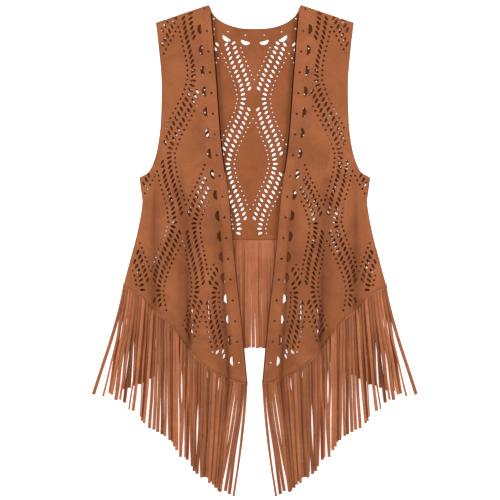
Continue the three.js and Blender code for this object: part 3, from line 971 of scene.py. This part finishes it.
@dataclass(frozen=True)
class Finishes:
    """Every material of the garment."""

    front: bpy.types.Material
    back: bpy.types.Material
    fringe: bpy.types.Material
    cut_edge: bpy.types.Material
    thread: bpy.types.Material

    @classmethod
    def make(cls) -> "Finishes":
        """Build the materials from one nap group.

        Returns:
            The materials.
        """
        nap = nap_group()
        return cls(
            front=SuedeFinish("front suede", linear(165, 98, 61), linear(144, 83, 50)).material(nap),
            back=SuedeFinish("back suede", linear(158, 91, 54), linear(141, 80, 46)).material(nap),
            fringe=SuedeFinish("fringe suede", linear(186, 115, 77), linear(167, 100, 65)).material(nap),
            # Cut-edge colour: partly the real darkened cut edge, partly painted shadow in the holes and
            # along the front edges.
            cut_edge=SuedeFinish("raw cut edge", linear(98, 52, 30), linear(82, 43, 25)).material(nap),
            thread=SuedeFinish("thread", linear(150, 88, 54), linear(138, 80, 48)).material(nap),
        )


def new_object(name: str, mesh: bpy.types.Mesh) -> bpy.types.Object:
    """Put a mesh into the scene.

    Args:
        name: The object's name.
        mesh: Its mesh.

    Returns:
        The object.
    """
    made = bpy.data.objects.new(name, mesh)
    bpy.context.scene.collection.objects.link(made)
    return made


def wall_mesh(
    name: str,
    points: np.ndarray,
    thickness: float,
    slants: Sequence[float] = (0, 0, 0, 0),
    materials: Sequence[bpy.types.Material] = (),
) -> bpy.types.Mesh:
    """Make a closed wall of even upright thickness over a net of points.

    Args:
        name: The mesh's name.
        points: Rows by columns by 3, the underside.
        thickness: How far up the upper side lies.
        slants: How far in the upper side's rim stands at the first and last row and column.
        materials: The wall's material and its rim's.

    Returns:
        The mesh, with its faces outwards.
    """
    rows, columns, _ = points.shape
    under = points.reshape(-1, 3)
    inward = np.zeros_like(points)
    rims = (np.s_[0, :], np.s_[-1, :], np.s_[:, 0], np.s_[:, -1])
    inners = (np.s_[1, :], np.s_[-2, :], np.s_[:, 1], np.s_[:, -2])
    for rim, inner, slant in zip(rims, inners, slants):
        step = points[inner] - points[rim]
        inward[rim] += slant * step / np.maximum(np.linalg.norm(step, axis=1, keepdims=True), 1e-9)
    over = under + np.array([0, 0, thickness]) + inward.reshape(-1, 3)
    index = np.arange(rows * columns).reshape(rows, columns)
    a, b = index[:-1, :-1].ravel(), index[:-1, 1:].ravel()
    c, d = index[1:, 1:].ravel(), index[1:, :-1].ravel()
    corner, right, down = points[0, 0], points[0, 1], points[1, 0]
    upward = np.cross(right - corner, down - corner)[2] > 0
    quads = np.column_stack([a, b, c, d] if upward else [a, d, c, b])
    loop = np.concatenate([index[0, :], index[1:, -1], index[-1, -2::-1], index[-2:0:-1, 0]])
    loop = loop if upward else loop[::-1]
    ahead = np.roll(loop, -1)
    count = len(under)
    sides = np.column_stack([loop, ahead, ahead + count, loop + count])
    faces = np.concatenate([quads + count, quads[:, ::-1], sides])
    mesh = bpy.data.meshes.new(name)
    mesh.from_pydata(np.concatenate([under, over]).tolist(), [], faces.tolist())
    for material in materials:
        mesh.materials.append(material)
    if len(materials) > 1:
        is_rim = np.arange(len(faces)) >= 2 * len(quads)
        mesh.polygons.foreach_set("material_index", is_rim.astype(np.int32))
    mesh.update()
    return mesh


def hole_object(
    name: str, holes: np.ndarray, side: int, lift: Callable[[np.ndarray, np.ndarray], np.ndarray]
) -> bpy.types.Object:
    """Make the points that say where a panel is cut, each square to the cloth there.

    Args:
        name: The object's name.
        holes: Rows of half width, height, angle and kind.
        side: 1, or -1 to mirror them.
        lift: The cloth's height at half widths and heights.

    Returns:
        The object, which is removed once the panel is cut.
    """
    half, y = holes[:, 0], holes[:, 1]
    slope_out = (lift(half + SLOPE_STEP, y) - lift(half - SLOPE_STEP, y)) / (2 * SLOPE_STEP)
    slope_up = (lift(half, y + SLOPE_STEP) - lift(half, y - SLOPE_STEP)) / (2 * SLOPE_STEP)
    mesh = bpy.data.meshes.new(name)
    places = np.column_stack([side * half, y, lift(half, y)])
    mesh.from_pydata(places.tolist(), [], [])
    turns = []
    for out, up, angle in zip(slope_out, slope_up, holes[:, 2]):
        square = Vector((-side * out, -up, 1)).to_track_quat("Z", "Y")
        level = square.to_matrix().to_euler().z
        spin = Quaternion((0, 0, 1), side * angle - level)
        turns.append((square @ spin).to_euler()[:])
    turn = mesh.attributes.new("hole_turn", "FLOAT_VECTOR", "POINT")
    turn.data.foreach_set("vector", np.array(turns, np.float32).ravel())
    kind = mesh.attributes.new("hole_kind", "INT", "POINT")
    kind.data.foreach_set("value", holes[:, 3].astype(np.int32))
    return new_object(name, mesh)


@dataclass
class Stitching:
    """A row of stitches along the lower edge of a panel."""

    name: str
    finishes: Finishes
    tree: bpy.types.NodeTree
    slot: SuedeSlot
    pitch: float = 0.0034
    stitch: float = 0.0024
    radius: float = 0.00035

    def build(self, line: np.ndarray) -> bpy.types.Object:
        """Sew along a line.

        Args:
            line: Points of the seam.

        Returns:
            The finished piece.
        """
        mesh = bpy.data.meshes.new(self.name)
        mesh.from_pydata(line.tolist(), [(i, i + 1) for i in range(len(line) - 1)], [])
        piece = new_object(self.name, mesh)
        run_tree(piece, self.tree, {
            "Stitch pitch": self.pitch,
            "Stitch length": self.stitch,
            "Thread radius": self.radius,
            "Thread": self.finishes.thread,
        })
        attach(piece, BODY)
        log.info("%s: sewn", self.name)
        return piece


@dataclass
class Panel:
    """A cloth panel that is cut through with the lattice and the border."""

    cut: Cut
    cut_outs: CutOuts
    finishes: Finishes
    perforate: bpy.types.NodeTree
    sew: bpy.types.NodeTree
    cutter_reach: float = 0.005
    stitch_inset: float = 0.0036
    lap_length: float = 0.0045
    lap_reach: float = 0.006
    row_counts: tuple[int, int, int] = (50, 16, 46)
    seam_points: int = 300

    def side_heights(self) -> tuple[np.ndarray, np.ndarray]:
        """Space the rows down the side, closer where the armhole bends.

        Returns:
            Heights down the armhole, and heights down the side seam below the armpit.
        """
        cut = self.cut
        upper, bend, lower = self.row_counts
        arm = np.concatenate([
            np.linspace(cut.shoulder_y_out, cut.bend_y, upper),
            np.linspace(cut.bend_y, cut.armpit_y, bend)[1:],
        ])
        return arm, np.linspace(cut.armpit_y, cut.side_end_y, lower)[1:]

    def lap(self, above_hem: np.ndarray) -> np.ndarray:
        """Return the share by which the hem is raised to lie on its fringe."""
        return 1 - rise(above_hem - self.lap_length, self.lap_reach)

    def perforated(
        self, name: str, mesh: bpy.types.Mesh, holes: np.ndarray, side: int,
        lift: Callable[[np.ndarray, np.ndarray], np.ndarray], flare_height: float,
    ) -> bpy.types.Object:
        """Cut a wall with its holes.

        Args:
            name: The piece's name.
            mesh: The uncut wall.
            holes: Rows of half width, height, angle and kind.
            side: 1, or -1 to mirror the holes.
            lift: The cloth's height at half widths and heights.
            flare_height: How far above the underside a hole is as wide as its flare.

        Returns:
            The finished piece.
        """
        suede = mesh.materials[0]
        piece = new_object(name, mesh)
        places = hole_object(f"{name}_places", holes, side, lift)
        run_tree(piece, self.perforate, {
            "Places": places,
            "Slot length": self.cut_outs.slot_length,
            "Slot width": self.cut_outs.slot_width,
            "Dot size": self.cut_outs.dot_size,
            "Moon length": self.cut_outs.moon_length,
            "Moon width": self.cut_outs.moon_width,
            "Cutter reach": self.cutter_reach,
            "Flare height": flare_height,
            "Suede": suede,
            "Cut edge": self.finishes.cut_edge,
        })
        bpy.data.objects.remove(places)
        return piece


@dataclass(frozen=True)
class Ripple:
    """Soft waves in lying cloth: their share of the height, turns across and along, and start."""

    share: float
    across: float
    along: float
    start: float = 0.0


@dataclass
class BackPanel(Panel):
    """The back: one sheet that lies flat on the surface."""

    flat: tuple[float, float] = (0.488, 0.522)
    flat_area: float = 0.172
    wave_height: float = 0.0022
    wave_reach: float = 0.020
    wave_middle: float = 0.5
    ripples: tuple[Ripple, ...] = (Ripple(0.3, 95, 14, 0.6), Ripple(0.2, -22, 31))
    rim_slants: tuple[float, ...] = (0.0006, 0.0006, 0.0006, 0.0006)
    neck_stops: tuple[float, ...] = (0, 0.3, 0.55, 0.72, 0.84, 0.9, 0.94, 0.97, 0.985, 1)
    columns_per_stop: int = 4
    shoulder_columns: int = 24

    def net(self) -> np.ndarray:
        """Lay out the underside.

        Returns:
            Rows by columns by 3.
        """
        cut = self.cut
        steps = np.arange(self.columns_per_stop) / self.columns_per_stop
        stops = zip(self.neck_stops, self.neck_stops[1:])
        neck = np.concatenate([mix(near, far, steps) for near, far in stops])
        out = np.linspace(cut.shoulder_half_neck, cut.shoulder_half_out, self.shoulder_columns)
        half = np.concatenate([neck * cut.shoulder_half_neck, out])
        top = np.where(half < cut.shoulder_half_neck, cut.back_neck(half), cut.shoulder_y(half))
        share = half / cut.shoulder_half_out
        side_y = np.concatenate(self.side_heights())
        down = (cut.shoulder_y_out - side_y) / (cut.shoulder_y_out - cut.side_end_y)
        bottom = cut.back_hem(share * cut.hem_half)
        x = np.outer(cut.outer_half(side_y), share)
        x[side_y == cut.armpit_y] = cut.side_seam(cut.armpit_y) * share
        y = mix(top[None, :], bottom[None, :], down[:, None])
        right = np.dstack([x, y, x])
        left = right[:, :0:-1] * np.array([-1, 1, 1])
        points = np.concatenate([left, right], axis=1)
        points[:, :, 2] = self.lift(points[:, :, 0], points[:, :, 1])
        return points

    def lift(self, x: np.ndarray, y: np.ndarray) -> np.ndarray:
        """Find the underside's height: flat, with soft waves in the open middle and a raised hem.

        Args:
            x: Places across.
            y: Places from hem to shoulder.

        Returns:
            Heights above the surface.
        """
        out = np.abs(x)
        in_open = 1 - rise(out - self.cut.front_edge(y) + self.wave_reach, self.wave_reach)
        in_open = in_open * rise(y - self.cut.back_hem(out), self.wave_reach)
        wave = self.wave_middle
        for ripple in self.ripples:
            turn = x * ripple.across + y * ripple.along + ripple.start
            wave = wave + ripple.share * np.sin(turn)
        raised = self.cut.back_lap * rise(self.cut.outer_half(y) - out, self.cut.side_reach)
        return self.wave_height * wave * in_open + raised * self.lap(y - self.cut.back_hem(out))

    def build(self) -> bpy.types.Object:
        """Returns:
            The finished piece.
        """
        holes = self.cut_outs.on_back(self.cut)
        materials = (self.finishes.back, self.finishes.cut_edge)
        mesh = wall_mesh("back", self.net(), self.cut.suede, self.rim_slants, materials)
        piece = self.perforated("back", mesh, holes, 1, self.lift, self.cut.suede)
        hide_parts("back_panel")
        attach(piece, BODY)
        self.hem_stitches()
        log.info("back: %d cut-outs", len(holes))
        return piece

    def hem_stitches(self) -> bpy.types.Object:
        """Sew the hem to its fringe.

        Returns:
            The stitches.
        """
        cut = self.cut
        end = cut.hem_half - self.stitch_inset
        x = np.linspace(-end, end, self.seam_points)
        y = cut.back_hem(np.abs(x)) + self.stitch_inset
        line = np.column_stack([x, y, self.lift(x, y) + cut.suede])
        return Stitching("stitches_back", self.finishes, self.sew, SuedeSlot.BACK).build(line)


@dataclass
class FrontPanel(Panel):
    """One front: a folded sheet that lies on the back."""

    side: Side = Side.LEFT
    flat: tuple[float, float] = (0.262, 0.715)
    flat_area: float = 0.098
    # The wide last slant shows a dark band along the front edge in the cut-edge colour, painted shadow
    # of the gap between front and back.
    rim_slants: tuple[float, ...] = (0.0007, 0.0006, 0.0008, 0.0025)
    columns_per_ridge: int = 14
    settling_rounds: int = 6
    row_counts: tuple[int, int, int] = (56, 16, 72)
    seam_points: int = 200
    # How much darker the suede is painted in the troughs, as painted shade.
    crease_shade: float = 0.19
    least_share: float = 0.1
    armpit_share: float = 0.5

    def row_shares(self, left: np.ndarray, right: np.ndarray) -> np.ndarray:
        """Share out one row's points between the fold lines.

        Args:
            left: Half width and height at the side.
            right: Half width and height at the front edge.

        Returns:
            Shares from 0 at the side to 1 at the front edge.
        """
        stops = [0.0]
        for trough in self.cut.troughs:
            across = 0.5
            for _ in range(self.settling_rounds):
                y = mix(left[1], right[1], across)
                across = (left[0] - self.cut.trough_half(trough, y)) / (left[0] - right[0])
            stops.append(float(np.clip(across, self.least_share, 1 - self.least_share)))
        stops.append(1.0)
        step = np.arange(self.columns_per_ridge) / self.columns_per_ridge
        shares = [mix(stops[i], stops[i + 1], step) for i in range(len(stops) - 1)]
        return np.concatenate([*shares, [1.0]])

    def net(self) -> np.ndarray:
        """Lay out the underside on its folds.

        Returns:
            Rows by columns by 3, as half width, height and lift.
        """
        cut = self.cut
        arm_y, side_y = self.side_heights()
        arm_length = cut.shoulder_y_out - cut.armpit_y
        arm_down = self.armpit_share * (cut.shoulder_y_out - arm_y) / arm_length
        side_down = (cut.armpit_y - side_y) / (cut.armpit_y - cut.side_end_y)
        side_down = self.armpit_share + (1 - self.armpit_share) * side_down
        down = np.concatenate([arm_down, side_down])
        left_y = np.concatenate([arm_y, side_y])
        left_half = np.concatenate([cut.armhole(arm_y), cut.side_seam(side_y)])
        right_y = mix(cut.shoulder_y_neck, cut.edge_end_y, down)
        rows = []
        for i, share_down in enumerate(down):
            left = np.array([left_half[i], left_y[i]])
            right = np.array([float(cut.front_edge(right_y[i])), right_y[i]])
            across = self.row_shares(left, right)
            half = mix(left[0], right[0], across)
            chord = mix(cut.side_end_y, cut.edge_end_y, across)
            hem = cut.front_hem(mix(cut.hem_half, cut.edge_end_half, across))
            y = mix(left[1], right[1], across) + share_down**2 * (hem - chord)
            rows.append(np.column_stack([half, y, self.lift(half, y)]))
        return np.array(rows)

    def lift(self, half: np.ndarray, y: np.ndarray) -> np.ndarray:
        """Return the underside's height, with the hem raised to lie on its fringe."""
        raised = self.cut.front_lap * self.lap(y - self.cut.front_hem(half))
        return self.cut.front_height(half, y) + raised

    def build(self) -> bpy.types.Object:
        """Returns:
            The finished piece.
        """
        name = f"front_{self.side.word}"
        holes = self.cut_outs.on_front(self.cut)
        points = self.net() * np.array([int(self.side), 1, 1])
        materials = (self.finishes.front, self.finishes.cut_edge)
        mesh = wall_mesh(name, points, self.cut.front_wall, self.rim_slants, materials)
        piece = self.perforated(name, mesh, holes, int(self.side), self.lift, self.cut.front_wall)
        self.shade_nap(piece)
        stitches = self.hem_stitches()
        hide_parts(f"front_panel_{self.side.word}")
        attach(piece, BODY)
        log.info("%s: %d cut-outs", name, len(holes))
        return piece

    def shade_nap(self, piece: bpy.types.Object) -> None:
        """Paint shade into each trough between the folds, as a darker tone of the suede.

        Args:
            piece: The panel.
        """
        places = np.zeros(len(piece.data.vertices) * 3, np.float32)
        piece.data.vertices.foreach_get("co", places)
        places = places.reshape(-1, 3)
        trough_shade_shares = self.cut.folds(np.abs(places[:, 0]), places[:, 1])[1]
        tone = piece.data.attributes.new(TONE_AND_PAINTED_SHADE, "FLOAT", "POINT")
        # Painted shade: the suede is darker in the troughs by crease_shade.
        tone.data.foreach_set("value", (-self.crease_shade * trough_shade_shares).astype(np.float32))

    def hem_stitches(self) -> bpy.types.Object:
        """Sew the hem to its fringe.

        Returns:
            The stitches.
        """
        cut = self.cut
        start, end = cut.edge_end_half + self.stitch_inset, cut.hem_half - self.stitch_inset
        half = np.linspace(start, end, self.seam_points)
        y = cut.front_hem(half) + self.stitch_inset
        line = np.column_stack([int(self.side) * half, y, self.lift(half, y) + cut.front_wall])
        sewing = Stitching(f"stitches_{self.side.word}", self.finishes, self.sew, SuedeSlot.FRONT)
        return sewing.build(line)


@dataclass(frozen=True)
class Parting:
    """A place where neighbouring strands lie apart, by root half width and share of their length."""

    half: float
    start: float
    end: float
    gap: float


@dataclass(frozen=True)
class StrandLay:
    """How one fringe's strands lie."""

    swing: SmoothCurve
    extra_length: SmoothCurve
    partings: tuple[Parting, ...]
    layers: int
    layer_rise: float
    drift: float
    curled_share: float
    tone_spread: float
    layer_shade: float


FRONT_LAY = StrandLay(
    swing=SmoothCurve([
        (0.244, 0.054), (0.236, 0.044), (0.231, 0.0375), (0.2204, 0.030), (0.210, 0.0245),
        (0.1995, 0.018), (0.189, 0.012), (0.168, 0.005), (0.135, 0.002), (0.110, 0.005),
        (0.085, 0.009), (0.064, 0.014), (0.046, 0.019), (0.037, 0.023), (0.0316, 0.0275),
        (0.0264, 0.0305), (0.0212, 0.0270), (0.0133, 0.0272),
    ]),
    extra_length=SmoothCurve([
        (0.244, 0.0), (0.225, 0.002), (0.200, 0.012), (0.170, 0.017), (0.140, 0.014), (0.100, 0.005),
        (0.060, 0.004), (0.030, 0.007), (0.0133, 0.011),
    ]),
    partings=(
        Parting(0.2405, 0.25, 1.2, 0.0065), Parting(0.2345, 0.55, 1.2, 0.0040),
        Parting(0.2240, 0.45, 0.85, 0.0030), Parting(0.2120, 0.38, 0.95, 0.0034),
        Parting(0.2060, 0.60, 1.2, 0.0026), Parting(0.1840, 0.62, 1.2, 0.0032),
        Parting(0.1770, 0.75, 1.2, 0.0028), Parting(0.1680, 0.68, 1.1, 0.0030),
        Parting(0.1600, 0.80, 1.2, 0.0030), Parting(0.1560, 0.02, 0.20, 0.0030),
        Parting(0.1400, 0.02, 0.22, 0.0030), Parting(0.1340, 0.25, 0.62, 0.0040),
        Parting(0.1280, 0.78, 1.2, 0.0030), Parting(0.1180, 0.80, 1.2, 0.0028),
        Parting(0.1030, 0.36, 0.75, 0.0020), Parting(0.0950, 0.86, 1.2, 0.0026),
        Parting(0.0870, 0.02, 0.12, 0.0022), Parting(0.0640, 0.02, 0.16, 0.0024),
        Parting(0.0345, 0.03, 0.9, 0.0060), Parting(0.0290, 0.06, 1.2, 0.0085),
        Parting(0.0180, 0.03, 1.2, 0.0080),
    ),
    layers=3,
    layer_rise=0.0012,
    drift=0.0012,
    curled_share=0.22,
    tone_spread=0.08,
    layer_shade=0.11,
)
BACK_LAY = StrandLay(
    swing=SmoothCurve([(0.0, 0.0), (0.205, 0.002), (0.225, 0.012), (0.244, 0.030)]),
    extra_length=SmoothCurve([(0.0, 0.0), (0.244, 0.0)]),
    partings=(
        Parting(0.0030, 0.55, 1.2, 0.0034), Parting(-0.0050, 0.72, 1.2, 0.0022),
        Parting(-0.0140, 0.75, 1.2, 0.0020), Parting(-0.0520, 0.20, 1.2, 0.0140),
        Parting(-0.0850, 0.35, 1.2, 0.0060), Parting(-0.1160, 0.30, 1.2, 0.0060),
        Parting(0.0520, 0.20, 1.2, 0.0140), Parting(0.0850, 0.35, 1.2, 0.0060),
        Parting(0.1160, 0.30, 1.2, 0.0060),
    ),
    layers=2,
    layer_rise=0.0006,
    drift=0.0005,
    curled_share=0.06,
    tone_spread=0.045,
    layer_shade=0.04,
)


@dataclass
class Fringe:
    """A narrow strip along a hem, cut into long flat strands."""

    name: str
    node: str
    cut: Cut
    finishes: Finishes
    tree: bpy.types.NodeTree
    hem: SmoothCurve
    lay: StrandLay
    start_half: float
    end_half: float
    count: int
    seed: int
    root_height: Callable[[np.ndarray], np.ndarray]
    tucked: Callable[[np.ndarray], np.ndarray]
    rest: float
    flat: tuple[float, float]
    flat_area: float
    mirrored: bool = False
    thickness: float = 0.0011
    overlap: float = 1.12
    edge_rounding: float = 0.0003
    length: float = 0.2005
    strip_depth: float = 0.0022
    root_overlap: float = 0.0008
    tuck: float = 0.0055
    uneven: float = 0.0035
    parting_reach: float = 0.010
    tone_wave: float = 0.03
    points_per_strand: int = 24
    strip_rows: int = 4
    strip_columns_per_strand: int = 3
    turn_step: float = 2.4
    turn_wobble: float = 1.7
    sway_ease: float = 1.5
    swing_ease: float = 1.15
    wave_share: float = 0.5
    wave_turns: float = 2.6
    twist_spread: float = 0.16
    twist_reach: float = 0.9
    curl_spread: float = 0.75
    curl_start: float = 0.2
    curl_reach: float = 0.6
    most_tilt: float = 1.2
    layer_reach: float = 0.12
    width_spread: float = 0.05
    tone_turns: float = 9.0
    opening_speed: float = 1.3

    @property
    def pitch(self) -> float:
        """Return the distance from one strand's root to the next."""
        return (self.end_half - self.start_half) / self.count

    def strip(self) -> tuple[np.ndarray, list[tuple[int, ...]]]:
        """Lay out the strip that holds the roots and runs under the panel's hem.

        Returns:
            The points and the faces.
        """
        columns = self.count * self.strip_columns_per_strand + 1
        half = np.linspace(self.start_half, self.end_half, columns)
        out = np.abs(half)
        top = self.hem(out) + np.where(self.tucked(out), self.tuck, -self.cut.seam_gap)
        bottom = self.hem(out) - self.strip_depth
        y = mix(top[None, :], bottom[None, :], np.linspace(0, 1, self.strip_rows)[:, None])
        height = np.broadcast_to(self.root_height(out), y.shape)
        points = np.dstack([np.broadcast_to(half, y.shape), y, height])
        mesh = wall_mesh("strip", points, self.thickness)
        verts = np.array([v.co[:] for v in mesh.vertices])
        faces = [tuple(p.vertices) for p in mesh.polygons]
        bpy.data.meshes.remove(mesh)
        return verts, faces

    def parted(self, root: np.ndarray, along: np.ndarray) -> np.ndarray:
        """Find how far the partings push each strand sideways.

        Args:
            root: Root half widths, as a column.
            along: Shares of the strands' length, as a row.

        Returns:
            Moves, strands by points.
        """
        moved = np.zeros((len(root), along.shape[1]))
        for part in self.lay.partings:
            away = root - part.half
            share = np.clip((along - part.start) / (part.end - part.start), 0, 1)
            stays_open = np.pi / 2 * np.minimum(share * self.opening_speed, 1)
            opening = np.sin(np.pi * share if part.end <= 1 else stays_open)
            nearness = np.exp(-np.abs(away) / self.parting_reach)
            moved += np.sign(away) * nearness * part.gap / 2 * opening
        return moved

    def lines(self) -> dict[str, np.ndarray]:
        """Lay out the strands' centre lines.

        Returns:
            Arrays of strands by points: x, y, z, width, tilt and tone, which holds random tone and
                painted shade.
        """
        draw = np.random.default_rng(self.seed)
        order = np.arange(self.count)
        root = (self.start_half + (order + 0.5) * self.pitch)[:, None]
        out = np.abs(root)
        along = np.linspace(0, 1, self.points_per_strand)[None, :]
        one_each = (self.count, 1)
        turn = self.turn_step * order + np.sin(self.turn_wobble * order)
        length = self.length + self.lay.extra_length(out) + self.uneven * np.sin(turn)[:, None]
        sway = draw.normal(0, self.lay.drift, (self.count, 2))
        wave = np.sin(self.wave_turns * np.pi * along) * along
        swayed = sway[:, :1] * along**self.sway_ease + self.wave_share * sway[:, 1:] * wave
        swung = np.sign(root) * self.lay.swing(out) * along**self.swing_ease
        x = root + swung + swayed + self.parted(root, along)
        leaning = np.sqrt(np.maximum(length**2 - self.lay.swing(out) ** 2, 0))
        near = self.pitch / 2
        slope_rise = np.abs(self.hem(out + near) - self.hem(out - near)) / 2
        top = self.hem(out) - self.strip_depth + self.root_overlap + slope_rise
        y = mix(top, self.hem(out) - leaning, along)
        flank = np.abs(self.root_height(out + near) - self.root_height(out - near)) / 2
        fall = self.rest + (self.root_height(out) - flank - self.rest) * (1 - along) ** 2
        curled = draw.random(one_each) < self.lay.curled_share
        twist = draw.normal(0, self.twist_spread, one_each) * np.sin(np.pi * along * self.twist_reach)
        curl = np.where(curled, draw.normal(0, self.curl_spread, one_each), 0)
        twist = twist + curl * rise(along - self.curl_start, self.curl_reach)
        tilt = np.clip(twist, -self.most_tilt, self.most_tilt)
        layer = draw.permuted(np.resize(np.arange(self.lay.layers), self.count))[:, None]
        stacked = layer * self.lay.layer_rise * rise(along, self.layer_reach)
        width = self.pitch * self.overlap
        z = fall + stacked + self.thickness / 2 + 0.5 * width * np.abs(np.sin(tilt))
        # Painted shade: strands lying under others are darker by layer_shade for each layer above them.
        below = self.lay.layers - 1 - layer
        tone = draw.normal(0, self.lay.tone_spread, one_each) - self.lay.layer_shade * below
        tone = tone + self.tone_wave * np.sin(along * self.tone_turns + turn[:, None])
        narrow = 1 + draw.normal(0, self.width_spread, one_each) + 0 * along
        return {"x": x, "y": y, "z": z, "width": narrow, "tilt": tilt, "tone": tone}

    def build(self) -> bpy.types.Object:
        """Returns:
            The finished piece.
        """
        verts, faces = self.strip()
        lines = self.lines()
        strands = np.dstack([lines["x"], lines["y"], lines["z"]]).reshape(-1, 3)
        sign = -1 if self.mirrored else 1
        first = len(verts)
        starts = first + np.arange(self.count)[:, None] * self.points_per_strand
        links = (starts + np.arange(self.points_per_strand - 1)[None, :]).ravel()
        if self.mirrored:
            faces = [face[::-1] for face in faces]
        mesh = bpy.data.meshes.new(self.name)
        both = np.concatenate([verts, strands]) * np.array([sign, 1, 1])
        mesh.from_pydata(both.tolist(), np.column_stack([links, links + 1]).tolist(), faces)
        is_strand = mesh.attributes.new("is_strand", "BOOLEAN", "POINT")
        is_strand.data.foreach_set("value", np.arange(len(both)) >= first)
        for label, values in (
            ("strand_width", lines["width"]),
            ("strand_tilt", sign * lines["tilt"]),
            (TONE_AND_PAINTED_SHADE, lines["tone"]),
        ):
            attribute = mesh.attributes.new(label, "FLOAT", "POINT")
            full = np.concatenate([np.zeros(first), values.ravel()])
            attribute.data.foreach_set("value", full.astype(np.float32))
        piece = new_object(self.name, mesh)
        run_tree(piece, self.tree, {
            "Strand width": self.pitch * self.overlap,
            "Strand thickness": self.thickness,
            "Edge rounding": self.edge_rounding,
            "Suede": self.finishes.fringe,
        })
        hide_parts(self.node)
        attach(piece, BODY)
        log.info("%s: %d strands", self.name, self.count)
        return piece


@dataclass(frozen=True)
class Softbox:
    """One large soft light that looks at the garment."""

    name: str
    place: tuple[float, float, float]
    size: float
    power: float


@dataclass
class Studio:
    """The surface, the lights and the camera."""

    softboxes: tuple[Softbox, ...] = (
        Softbox("left_softbox", (-1.60, 0.40, 0.85), 0.8, 28.5),
        Softbox("right_softbox", (1.60, 0.40, 0.85), 0.8, 28.5),
        Softbox("top_softbox", (0.0, 0.7, 2.5), 1.2, 14.0),
    )
    room_strength: float = 0.19
    floor_size: float = 40.0
    floor_gap: float = 0.0003
    floor_glow: float = 0.72
    floor_shade: float = 0.93
    floor_roughness: float = 0.9
    camera_x: float = -0.0089
    camera_y: float = -0.0004
    view_width: float = 0.925
    lens: float = 100.0
    sensor: float = 36.0
    view_depth: float = 50.0

    def floor(self) -> None:
        """Lay the plain pale surface, which glows a little like a light table."""
        half = self.floor_size / 2
        mesh = bpy.data.meshes.new("floor")
        corners = [(-half, -half), (half, -half), (half, half), (-half, half)]
        mesh.from_pydata([(x, y, -self.floor_gap) for x, y in corners], [], [(0, 1, 2, 3)])
        made = new_object("floor", mesh)
        pale = bpy.data.materials.new("pale floor")
        pale.use_nodes = True
        shader = pale.node_tree.nodes["Principled BSDF"]
        for name, value in (
            ("Base Color", (self.floor_shade, self.floor_shade, self.floor_shade, 1)),
            ("Roughness", self.floor_roughness),
            ("Emission Color", (1, 1, 1, 1)),
            ("Emission Strength", self.floor_glow),
        ):
            shader.inputs[name].default_value = value
        mesh.materials.append(pale)

    def light(self, box: Softbox) -> None:
        """Hang one soft square light that looks at the garment.

        Args:
            box: Where it hangs, how large it is and how strong.
        """
        lamp = bpy.data.lights.new(box.name, "AREA")
        lamp.size = box.size
        lamp.energy = box.power
        made = bpy.data.objects.new(box.name, lamp)
        made.location = box.place
        made.rotation_euler = (-Vector(box.place)).to_track_quat("-Z", "Y").to_euler()
        bpy.context.scene.collection.objects.link(made)

    def camera(self) -> None:
        """Hang the camera straight above."""
        lens = bpy.data.cameras.new("camera")
        lens.lens = self.lens
        lens.sensor_width = self.sensor
        lens.clip_end = self.view_depth
        made = bpy.data.objects.new("camera", lens)
        made.location = (self.camera_x, self.camera_y, self.view_width * self.lens / self.sensor)
        bpy.context.scene.collection.objects.link(made)
        bpy.context.scene.camera = made

    def build(self) -> None:
        """Set up the whole studio."""
        self.floor()
        for box in self.softboxes:
            self.light(box)
        world = bpy.data.worlds.new("soft room")
        world.use_nodes = True
        background = world.node_tree.nodes["Background"]
        background.inputs["Color"].default_value = (1, 1, 1, 1)
        background.inputs["Strength"].default_value = self.room_strength
        bpy.context.scene.world = world
        bpy.context.scene.view_settings.view_transform = "Standard"
        self.camera()
        log.info("studio: floor, %d lights and camera", len(self.softboxes))


def main() -> None:
    """Build the whole garment and its studio."""
    logging.basicConfig(level=logging.INFO, format="%(name)s: %(message)s")
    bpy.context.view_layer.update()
    cut = Cut()
    finishes = Finishes.make()
    perforate, strands, stitches = perforation_tree(), strand_tree(), stitch_tree()
    cut_outs = CutOuts()
    BackPanel(cut, cut_outs, finishes, perforate, stitches).build()
    for side in Side:
        FrontPanel(cut, cut_outs, finishes, perforate, stitches, side=side).build()

    Fringe(
        "fringe_back", "back_fringe", cut, finishes, strands, cut.back_hem, BACK_LAY,
        -cut.hem_half, cut.hem_half, count=80, seed=11,
        root_height=lambda out: np.full_like(out, cut.back_strip_height),
        tucked=lambda out: cut.outer_half(cut.back_hem(out)) - out > cut.side_reach,
        rest=cut.back_strip_height, flat=(0.53, 0.206), flat_area=0.100, thickness=0.001,
        length=0.1995, uneven=0.001,
    ).build()
    for side in Side:
        Fringe(
            f"fringe_front_{side.word}", f"front_fringe_{side.word}", cut, finishes, strands,
            cut.front_hem, FRONT_LAY, cut.edge_end_half, cut.hem_half, count=44, seed=23,
            root_height=lambda out: cut.front_height(out, cut.front_hem(out)),
            tucked=lambda out: out > 0, rest=cut.strand_rest,
            flat=(0.30, 0.216), flat_area=0.050, mirrored=side is Side.LEFT,
        ).build()
    Studio().build()


if __name__ == "__main__":
    main()
